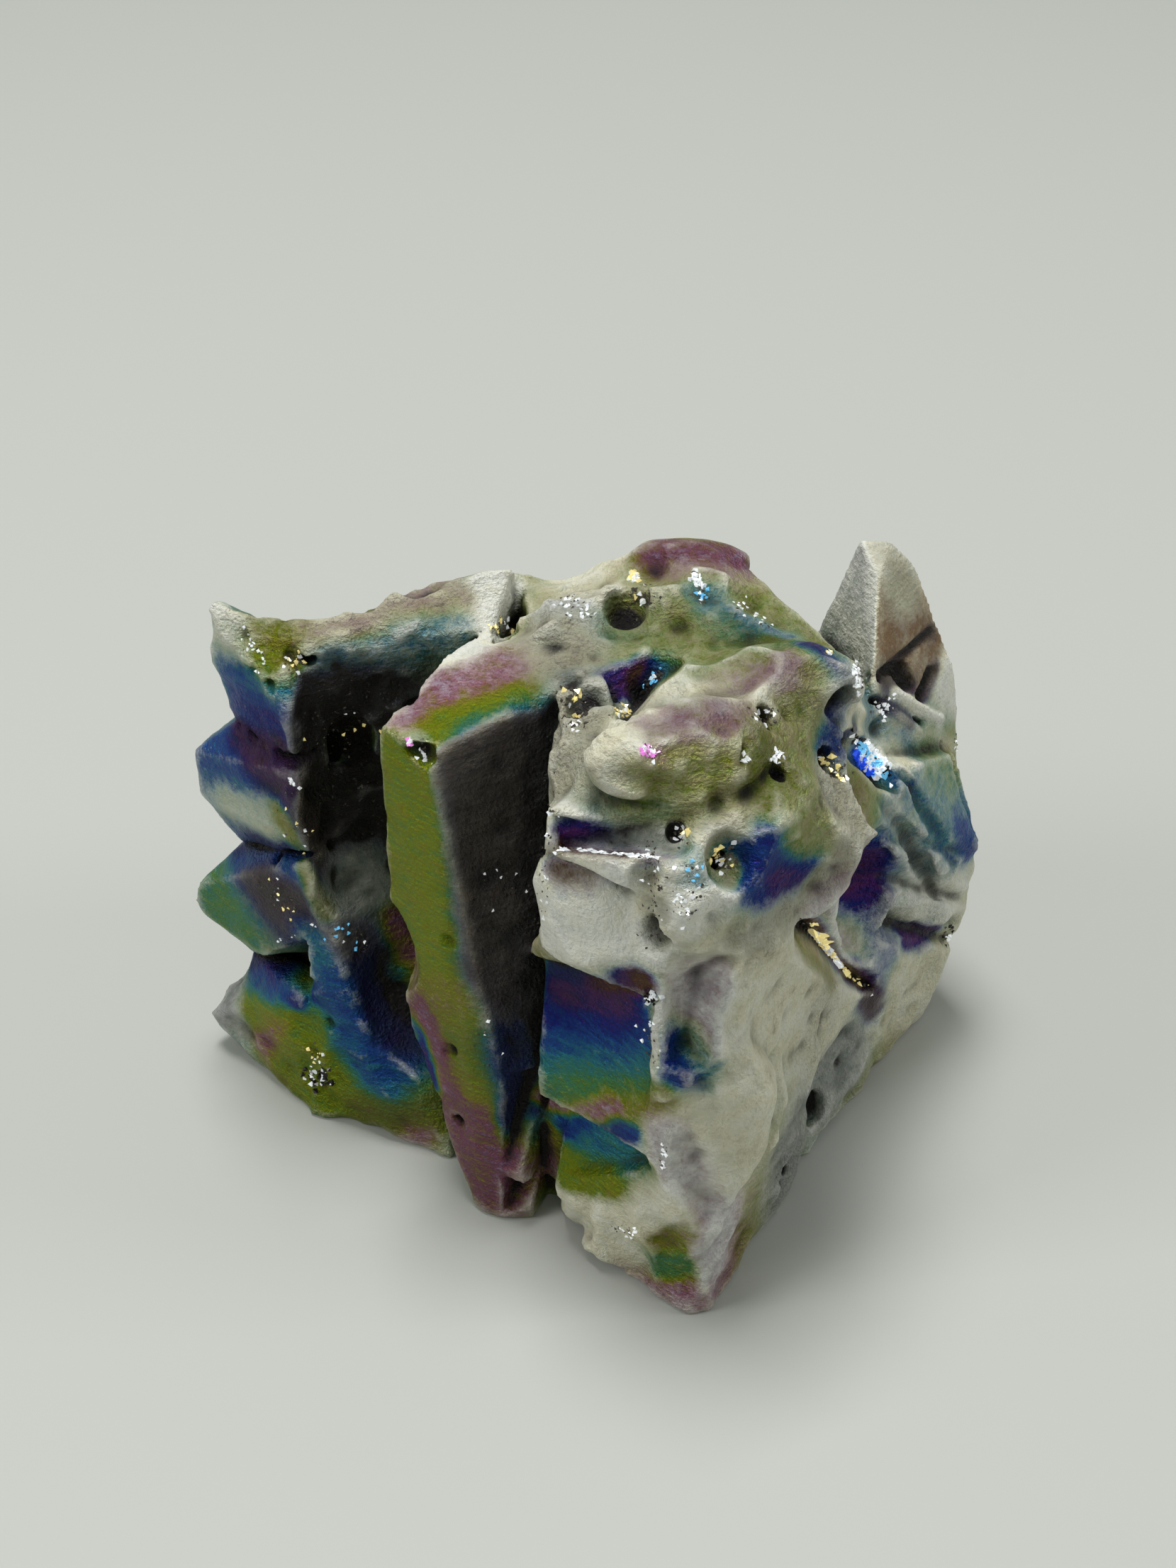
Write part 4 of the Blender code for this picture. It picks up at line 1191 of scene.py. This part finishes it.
class Nodes:
    """Adds and wires shader nodes."""

    def __init__(self, name):
        self.material = bpy.data.materials.new(name)
        self.material.use_nodes = True
        self.tree = self.material.node_tree
        self.shader = self.tree.nodes["Principled BSDF"]

    def put(self, socket, value):
        if isinstance(value, bpy.types.NodeSocket):
            self.tree.links.new(value, socket)
        else:
            socket.default_value = value

    def node(self, kind, inputs=(), **settings):
        made = self.tree.nodes.new(kind)
        for name, value in settings.items():
            setattr(made, name, value)
        for key, value in dict(inputs).items():
            self.put(made.inputs[key], value)
        return made

    def sum(self, *values):
        """Adds up pairs of a value and its weight, and keeps the total between 0 and 1 when there is more
        than one pair.
        """
        total = None
        for value, weight in values:
            step = self.node(
                "ShaderNodeMath",
                {0: value, 1: weight, 2: 0.0 if total is None else total},
                operation="MULTIPLY_ADD",
                use_clamp=len(values) > 1 and value is values[-1][0],
            )
            total = step.outputs[0]
        return total

    def attribute(self, name):
        return self.node("ShaderNodeAttribute", attribute_name=name).outputs["Fac"]

    def noise(self, scale, detail=2.0, roughness=0.55, stretch=(1.0, 1.0, 1.0)):
        """Noise centred on nothing, with lumps about scale mm wide over their stretch."""
        place = self.node("ShaderNodeTexCoord").outputs["Object"]
        place = self.node("ShaderNodeVectorMath", {0: place, 1: stretch}, operation="MULTIPLY").outputs[0]
        texture = self.node(
            "ShaderNodeTexNoise",
            {"Vector": place, "Scale": 1.0 / (scale * MM), "Detail": detail, "Roughness": roughness},
        )
        centred = self.node("ShaderNodeMath", {0: texture.outputs["Fac"], 1: 0.5}, operation="SUBTRACT")
        return centred.outputs[0]

    def cells(self, scale, feature, shift):
        """Distances in a pattern of crystal grains about scale mm wide, with their places shifted."""
        place = self.node("ShaderNodeTexCoord").outputs["Object"]
        aside = (0.9 * MM, 0.7 * MM, 0.8 * MM)
        place = self.node("ShaderNodeVectorMath", {0: place, 1: aside}, operation="ADD").outputs[0]
        drift = self.node("ShaderNodeMath", {0: shift, 1: scale * 0.5 * MM}, operation="MULTIPLY").outputs[0]
        place = self.node("ShaderNodeVectorMath", {0: place, 1: drift}, operation="ADD").outputs[0]
        texture = self.node(
            "ShaderNodeTexVoronoi", {"Vector": place, "Scale": 1.0 / (scale * MM)}, feature=feature
        )
        return texture.outputs["Distance"]

    def total(self, *values):
        """Adds up pairs of a value and its weight."""
        added = 0.0
        for value, weight in values:
            step = self.node("ShaderNodeMath", {0: value, 1: weight, 2: added}, operation="MULTIPLY_ADD")
            added = step.outputs[0]
        return added

    def ramp(self, value, colours):
        made = self.node("ShaderNodeValToRGB", {"Fac": value})
        stops = made.color_ramp.elements
        stops.remove(stops[1])
        for number, (position, colour) in enumerate(colours.items()):
            stop = stops[0] if number == 0 else stops.new(position)
            stop.position = position
            stop.color = linear(colour)
        return made.outputs["Color"]

    def mix(self, share, first, second, kind="MIX"):
        made = self.node("ShaderNodeMix", data_type="RGBA", blend_type=kind)
        for socket, value in zip((made.inputs[0], made.inputs[6], made.inputs[7]), (share, first, second)):
            self.put(socket, value)
        return made.outputs[2]


def stone_material():
    """Satin stone under a thin rainbow coating, with bare places and dark places, the dark partly painted
    shade.
    """
    nodes = Nodes("coated_sphalerite")
    mottle = nodes.noise(0.9, 5.0, 0.7)
    grain = nodes.noise(0.24, 3.0, 0.7)
    cloud = nodes.noise(3.2, 4.0, 0.6)
    streak = nodes.noise(0.5, 3.0, 0.6, stretch=(0.22, 0.22, 1.3))
    rough = nodes.attribute("rough")
    film = nodes.attribute("film")
    film = nodes.sum((film, 1.0), (mottle, 0.16), (grain, 0.16), (cloud, 0.1), (streak, 0.22))
    bare = nodes.sum((nodes.attribute("bare"), 1.0), (mottle, 0.9), (grain, 0.5))
    dark = nodes.sum((nodes.attribute("dark"), 1.1), (mottle, 0.4), (grain, 0.3), (streak, 0.4), (1.0, -0.04))
    warm = nodes.sum((nodes.attribute("warm"), 1.0), (cloud, 0.6), (mottle, 0.4))
    coated = nodes.ramp(film, FILM_COLOURS)
    stone = nodes.ramp(warm, STONE_COLOURS)
    colour = nodes.mix(bare, coated, stone)
    # The dark attribute mixes towards near black: the stone's dark colour, and painted shade in pits,
    # hollows, creases and under overhangs.
    colour = nodes.mix(dark, colour, linear((24, 20, 19)))
    speck = nodes.sum((grain, 2.6), (mottle, 1.8), (rough, 0.55), (1.0, -0.72))
    colour = nodes.mix(speck, colour, linear((50, 45, 38)))
    crack = nodes.cells(2.6, "DISTANCE_TO_EDGE", mottle)
    line = nodes.sum((crack, -14.0), (rough, 0.5), (mottle, 2.6), (cloud, 2.0), (1.0, -0.15))
    line = nodes.sum((line, 0.55))
    colour = nodes.mix(line, colour, linear((46, 40, 34)))
    chalk = nodes.sum((grain, -2.0), (mottle, -1.4), (rough, 0.4), (1.0, -0.66))
    colour = nodes.mix(chalk, colour, linear((226, 226, 214)))
    nodes.put(nodes.shader.inputs["Base Color"], colour)
    metallic = nodes.sum((bare, -0.8), (dark, -0.35), (rough, -0.15), (1.0, 0.86))
    nodes.put(nodes.shader.inputs["Metallic"], metallic)
    roughness = nodes.sum((mottle, 0.3), (grain, 0.4), (rough, 0.1), (bare, 0.12), (1.0, 0.38))
    nodes.put(nodes.shader.inputs["Roughness"], roughness)
    groove = nodes.sum((crack, 9.0), (1.0, 0.0))
    sugar = nodes.cells(0.42, "F1", mottle)
    height = nodes.total((mottle, 1.1), (grain, 0.7), (groove, 0.05), (sugar, 0.35), (streak, 0.6))
    strength = nodes.sum((rough, 0.4), (1.0, 0.6))
    bump = nodes.node("ShaderNodeBump", {"Height": height, "Strength": strength, "Distance": 0.6 * MM})
    nodes.put(nodes.shader.inputs["Normal"], bump.outputs["Normal"])
    return nodes.material


# Colours of the crystals, as sRGB out of 255; gold, white, cyan, blue and magenta are painted glints, which
# the crystals also emit as glow
GLINTS = {
    "gold": (255, 236, 160),
    "white": (244, 248, 250),
    "cyan": (120, 205, 255),
    "blue": (40, 90, 255),
    "magenta": (250, 150, 240),
    "dull": (70, 66, 58),
    "dark": (26, 22, 20),
}

# Crystals: the colour of the bright ones, how many of them are bright, how many there
# are, how far they stray and how big they are in millimetres, and the photo's pixels
# that they follow
# The bright crystals are painted highlights: glints and reflections, such as the gold streak along the brow
# cut and the line along the first crest, glowing in their colour.
DRUSE = {
    "brow cut": ("gold", 1.0, 130, 0.22, 1.0, (1150, 1314), (1172, 1344), (1196, 1374)),
    "brow cut, top": ("gold", 0.2, 20, 0.35, 0.45, (1132, 1298), (1150, 1306)),
    "brow cut, foot": ("gold", 0.25, 22, 0.4, 0.45, (1204, 1380), (1234, 1400)),
    "eye cut": ("cyan", 0.9, 70, 0.5, 0.85, (1212, 1056), (1244, 1092)),
    "eye cut, rim": ("white", 0.9, 36, 0.3, 0.6, (1218, 1044), (1256, 1082)),
    "eye cut, middle": ("blue", 1.0, 36, 0.3, 0.8, (1204, 1062), (1234, 1094)),
    # Painted shade: dark crystals fill the black ends of the eye cut.
    "eye cut, ends": ("dark", 1.0, 30, 0.7, 0.6, (1200, 1036), (1258, 1104)),
    "temple": ("gold", 0.9, 22, 0.5, 0.55, (886, 818), (900, 812)),
    "temple pit": ("gold", 0.15, 34, 1.2, 0.6, (905, 842)),
    "knob": ("white", 0.8, 34, 0.6, 0.42, (978, 810), (992, 830)),
    "knob, side": ("cyan", 0.6, 22, 0.7, 0.4, (990, 842)),
    "left knob": ("white", 0.5, 44, 1.0, 0.4, (796, 846), (826, 864)),
    "crest, right": ("white", 0.35, 44, 0.6, 0.34, (1036, 846), (1062, 862), (1096, 888)),
    "brow point": ("gold", 0.9, 8, 0.25, 0.4, (1170, 921)),
    "recess foot": ("gold", 0.6, 34, 0.7, 0.4, (868, 1000), (892, 1006)),
    "recess side": ("cyan", 0.4, 30, 0.6, 0.4, (912, 966), (936, 948)),
    "mouth's corner": ("gold", 0.15, 60, 1.4, 0.55, (806, 975), (816, 1010)),
    "mouth's corner, foot": ("white", 0.4, 22, 0.7, 0.36, (800, 1020), (822, 1024)),
    "petal": ("magenta", 0.8, 36, 0.5, 0.36, (908, 1052), (922, 1066)),
    "cheek point": ("white", 0.7, 12, 0.4, 0.36, (1051, 1070)),
    "cheek crystals": ("white", 0.5, 22, 0.6, 0.42, (1096, 1060), (1094, 1074)),
    "brow pit": ("white", 0.2, 40, 1.0, 0.45, (1060, 1010), (1100, 1006)),
    "eye's corner": ("gold", 0.3, 44, 1.1, 0.5, (1165, 1068), (1186, 1090)),
    "nostril": ("gold", 0.3, 50, 1.2, 0.5, (1014, 1196), (1026, 1218)),
    "lip block": ("gold", 0.15, 44, 0.9, 0.5, (956, 1164), (966, 1184)),
    "first crest": ("white", 0.6, 150, 0.16, 0.3, (786, 1197), (850, 1203), (930, 1209)),
    "first tooth, rough": ("white", 0.2, 70, 1.2, 0.4, (912, 1190), (925, 1250), (915, 1330)),
    "lip bump": ("white", 0.35, 30, 1.0, 0.34, (955, 1270), (975, 1290)),
    "lip side": ("cyan", 0.3, 50, 0.8, 0.34, (975, 1215), (985, 1260)),
    "second tooth": ("white", 0.35, 34, 1.0, 0.34, (912, 1442), (926, 1500)),
    "second tooth pit": ("dark", 1.0, 24, 0.6, 0.45, (918, 1408)),
    "third tooth, line": ("white", 0.5, 26, 0.35, 0.32, (935, 1612), (936, 1652)),
    "third tooth, foot": ("white", 0.4, 30, 0.6, 0.32, (870, 1732), (900, 1740)),
    "tongue corner": ("white", 0.3, 36, 0.8, 0.4, (598, 1058), (606, 1072)),
    "tongue highlight": ("magenta", 0.9, 10, 0.3, 0.4, (574, 1040), (580, 1048)),
    "tongue flank": ("white", 0.25, 26, 1.4, 0.32, (660, 1420), (690, 1470), (700, 1500)),
    "tongue flank, upper": ("white", 0.15, 24, 2.4, 0.3, (700, 1180), (720, 1300)),
    "mouth edge": ("white", 0.25, 46, 0.7, 0.34, (785, 1090), (770, 1200), (762, 1300)),
    "rim hollow": ("gold", 0.2, 40, 1.0, 0.45, (700, 885), (716, 890)),
    "jaw socket": ("gold", 0.35, 36, 0.9, 0.42, (408, 930), (424, 938)),
    "jaw socket, upper": ("white", 0.5, 24, 1.0, 0.34, (345, 895), (380, 940)),
    "jaw cavity": ("gold", 0.2, 44, 2.6, 0.36, (440, 1010), (480, 1060), (520, 1000)),
    "jaw cavity, brown": ("gold", 0.25, 34, 1.6, 0.36, (400, 1130), (430, 1190)),
    "jaw ledge": ("cyan", 0.3, 34, 1.2, 0.36, (470, 1310), (512, 1330)),
    "second tooth edge": ("white", 0.8, 16, 0.3, 0.36, (410, 1100), (420, 1112)),
    "third tooth edge": ("white", 0.4, 30, 0.3, 0.26, (376, 1334), (410, 1322), (446, 1306)),
    "third tooth inner": ("gold", 0.3, 34, 1.0, 0.36, (380, 1250), (420, 1290)),
    "bowl edge": ("dark", 1.0, 40, 0.9, 0.55, (432, 1518), (462, 1524)),
    "bowl": ("gold", 0.3, 40, 1.0, 0.34, (440, 1480), (452, 1500)),
    "horn foot": ("white", 0.6, 44, 0.6, 0.36, (1208, 930), (1214, 972)),
    "horn foot, lower": ("white", 0.4, 40, 0.9, 0.4, (1240, 1000), (1256, 990)),
    "mane edge": ("white", 0.4, 30, 0.5, 0.32, (1348, 1040), (1356, 1060)),
    "nape": ("dark", 0.6, 40, 0.8, 0.5, (1334, 1316), (1340, 1330)),
}


def crystal_material():
    """Glassy little faces in the pits, glowing in their colour as painted glints."""
    nodes = Nodes("druse")
    made = nodes.node("ShaderNodeAttribute", attribute_name="glint")
    nodes.put(nodes.shader.inputs["Base Color"], made.outputs["Color"])
    # Painted glow: each crystal emits its own glint colour, so the bright ones shine as painted highlights
    # without a lamp.
    nodes.put(nodes.shader.inputs["Emission Color"], made.outputs["Color"])
    nodes.shader.inputs["Emission Strength"].default_value = 0.42
    nodes.shader.inputs["Metallic"].default_value = 0.4
    nodes.shader.inputs["Roughness"].default_value = 0.14
    return nodes.material


# Crystals that stray no further than this lie along their pixels, as in a seam
SEAM_STRAY = 0.22


def grow_druse(clay):
    """Small crystals in the pits and along the broken edges, half sunk in the stone; the bright ones are
    painted glints.
    """
    chance = np.random.default_rng(81)
    surface = clay.blurred(0.3)
    corners = []
    faces = []
    tints = []
    octahedron = np.array([(1, 0, 0), (-1, 0, 0), (0, 1, 0), (0, -1, 0), (0, 0, 1), (0, 0, -1)], float)
    around = [0, 2, 1, 3, 0]
    sides = [(first, second, 4) for first, second in zip(around, around[1:])]
    sides += [(second, first, 5) for first, second in zip(around, around[1:])]
    for colour, bright, count, stray, size, *pixels in DRUSE.values():
        run = np.array(pixels, float)
        ends = clay.seen(run[[0, -1]])
        lengthwise = unit(ends[1] - ends[0]) if stray <= SEAM_STRAY else None
        spots = chance.uniform(0.0, max(len(run) - 1, 0), count)
        base = np.minimum(spots.astype(int), max(len(run) - 2, 0))
        ahead = np.minimum(base + 1, len(run) - 1)
        middle = run[base] + (run[ahead] - run[base]) * (spots - base)[:, None]
        middle += chance.normal(0.0, 0.5 * stray * FOCAL_PIXELS / EYE_DISTANCE, (count, 2))
        places = clay.seen(middle)
        places = places[np.abs(clay.read(clay.field, places)) < 0.3]
        away = clay.slope(surface, places)
        for place, out in zip(places, away):
            shown = chance.choice([colour, colour, "white"]) if chance.random() < bright else "dull"
            turned = np.array(Matrix.Rotation(chance.uniform(0, 6.3), 3, unit(chance.normal(0, 1, 3))))
            if lengthwise is not None:
                side = unit(np.cross(lengthwise, out) + chance.normal(0.0, 0.12, 3))
                turned = np.stack([lengthwise * 2.4, side, 0.7 * unit(np.cross(side, lengthwise))], axis=1)
            scale = 0.5 * size * (0.8 if shown == "dull" else 1.25) * chance.uniform(0.6, 1.4, 3)
            start = len(corners)
            corners += list((octahedron * scale) @ turned.T + place - out * 0.12 * size)
            faces += [tuple(start + corner for corner in side) for side in sides]
            tint = np.array(linear(GLINTS[shown]))
            tint[:3] *= chance.uniform(0.6, 1.0)
            tints += [tint] * 6
    mesh = bpy.data.meshes.new("druse")
    mesh.from_pydata([tuple(to_frame(corner)) for corner in corners], [], faces)
    layer = mesh.attributes.new("glint", "FLOAT_COLOR", "POINT")
    layer.data.foreach_set("color", np.array(tints, np.float32).ravel())
    mesh.materials.append(crystal_material())
    druse = link("druse", mesh)
    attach(druse, "root")


# What lies below the table
BELOW_TABLE = ((-60.0, 60.0), (-60.0, 60.0), (-20.0, 0.0))


def carve_stone():
    """The stone, carved from the CAD solid, painted, and put in that solid's place."""
    clay = Clay(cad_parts["dragon_head"])
    carve_jaw(clay)
    soft = clay.blurred(1.2)
    carve_teeth(clay, soft)
    carve_nose(clay, soft)
    carve_cheek(clay, soft)
    carve_mane(clay, soft)
    rough, smooth_cuts = roughen(clay, soft)
    open_pits(clay, soft)
    clay.cut(box(*BELOW_TABLE), 0.1)
    stone = link("dragon_head_stone", clay.mesh("dragon_head_stone"))
    triangles = sum(len(face.vertices) - 2 for face in stone.data.polygons)
    if triangles > MOST_TRIANGLES:
        fewer = stone.modifiers.new("fewer", "DECIMATE")
        fewer.ratio = MOST_TRIANGLES / triangles
        view = bpy.context.evaluated_depsgraph_get()
        stone.data = bpy.data.meshes.new_from_object(stone.evaluated_get(view))
        stone.modifiers.clear()
    stone.data.shade_smooth()
    paint(clay, stone, rough, smooth_cuts)
    stone.data.materials.clear()
    stone.data.materials.append(stone_material())
    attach(stone, "root")
    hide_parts("dragon_head")
    return clay


# The floor in metres: where it starts to curve up, the curve's radius and how far it
# rises in degrees, and how finely it is built
FLOOR_FLAT = 1.1
FLOOR_CURVE = 1.6
FLOOR_RISE = 38.0
FLOOR_STEPS = 10
FLOOR_AROUND = 64
PAPER = (177, 179, 173)


def lay_floor():
    """A plain pale sheet that curves up all round, far from the stone."""
    rings = [(0.4 * FLOOR_FLAT, 0.0)]
    for step in range(FLOOR_STEPS + 1):
        turn = math.radians(FLOOR_RISE * step / FLOOR_STEPS)
        rings.append((FLOOR_FLAT + FLOOR_CURVE * math.sin(turn), FLOOR_CURVE - FLOOR_CURVE * math.cos(turn)))
    corners = [(0.0, 0.0, 0.0)]
    for reach, height in rings:
        for step in range(FLOOR_AROUND):
            turn = math.tau * step / FLOOR_AROUND
            corners.append((reach * math.cos(turn), reach * math.sin(turn), height))
    faces = [(0, 1 + step, 1 + (step + 1) % FLOOR_AROUND) for step in range(FLOOR_AROUND)]
    for ring in range(len(rings) - 1):
        inner = 1 + ring * FLOOR_AROUND
        outer = inner + FLOOR_AROUND
        for step in range(FLOOR_AROUND):
            ahead = (step + 1) % FLOOR_AROUND
            faces.append((inner + step, outer + step, outer + ahead, inner + ahead))
    mesh = bpy.data.meshes.new("floor")
    mesh.from_pydata(corners, [], faces)
    mesh.shade_smooth()
    floor = link("floor", mesh)
    paper = Nodes("paper")
    paper.shader.inputs["Base Color"].default_value = linear(PAPER)
    paper.shader.inputs["Roughness"].default_value = 0.6
    mesh.materials.append(paper.material)


# Lamps: where each stands and how wide it is, in layout millimetres, and its watts
LAMPS = {
    "overhead": ((-66.0, 142.0, 856.0), 286.0, 6.05),
    "window": ((-704.0, -254.0, 548.0), 308.0, 2.42),
    "side": ((748.0, -78.0, 460.0), 242.0, 1.55),
}
LIT_PLACE = (0.0, -8.0, 20.0)
SKY = (226, 232, 228)
SKY_STRENGTH = 0.4


def soft_light(name, place, size, power):
    """A square light that faces the stone."""
    lamp = bpy.data.lights.new(name, "AREA")
    lamp.shape = "SQUARE"
    lamp.size = size * MM
    lamp.energy = power
    made = link(name, lamp)
    made.location = to_frame(place)
    aim = Vector(to_frame(LIT_PLACE)) - made.location
    made.rotation_euler = aim.to_track_quat("-Z", "Y").to_euler()


def light_studio():
    """Soft lamps under a pale sky."""
    for name, (place, size, power) in LAMPS.items():
        soft_light(name, place, size, power)
    world = bpy.data.worlds.new("room")
    bpy.context.scene.world = world
    world.use_nodes = True
    sky = world.node_tree.nodes["Background"]
    sky.inputs["Color"].default_value = linear(SKY)
    sky.inputs["Strength"].default_value = SKY_STRENGTH
    bpy.context.scene.view_settings.view_transform = "Standard"


def set_camera():
    """The photo's viewpoint."""
    lens = bpy.data.cameras.new("photo_camera")
    lens.sensor_width = SENSOR
    lens.lens = FOCAL_PIXELS * SENSOR / IMAGE_HEIGHT
    lens.clip_start = 0.01
    camera = link("photo_camera", lens)
    camera.location = to_frame(EYE)
    camera.rotation_euler = (math.pi / 2 - LOOK_DOWN, 0.0, 0.0)
    bpy.context.scene.camera = camera


set_camera()
clay = carve_stone()
grow_druse(clay)
lay_floor()
light_studio()
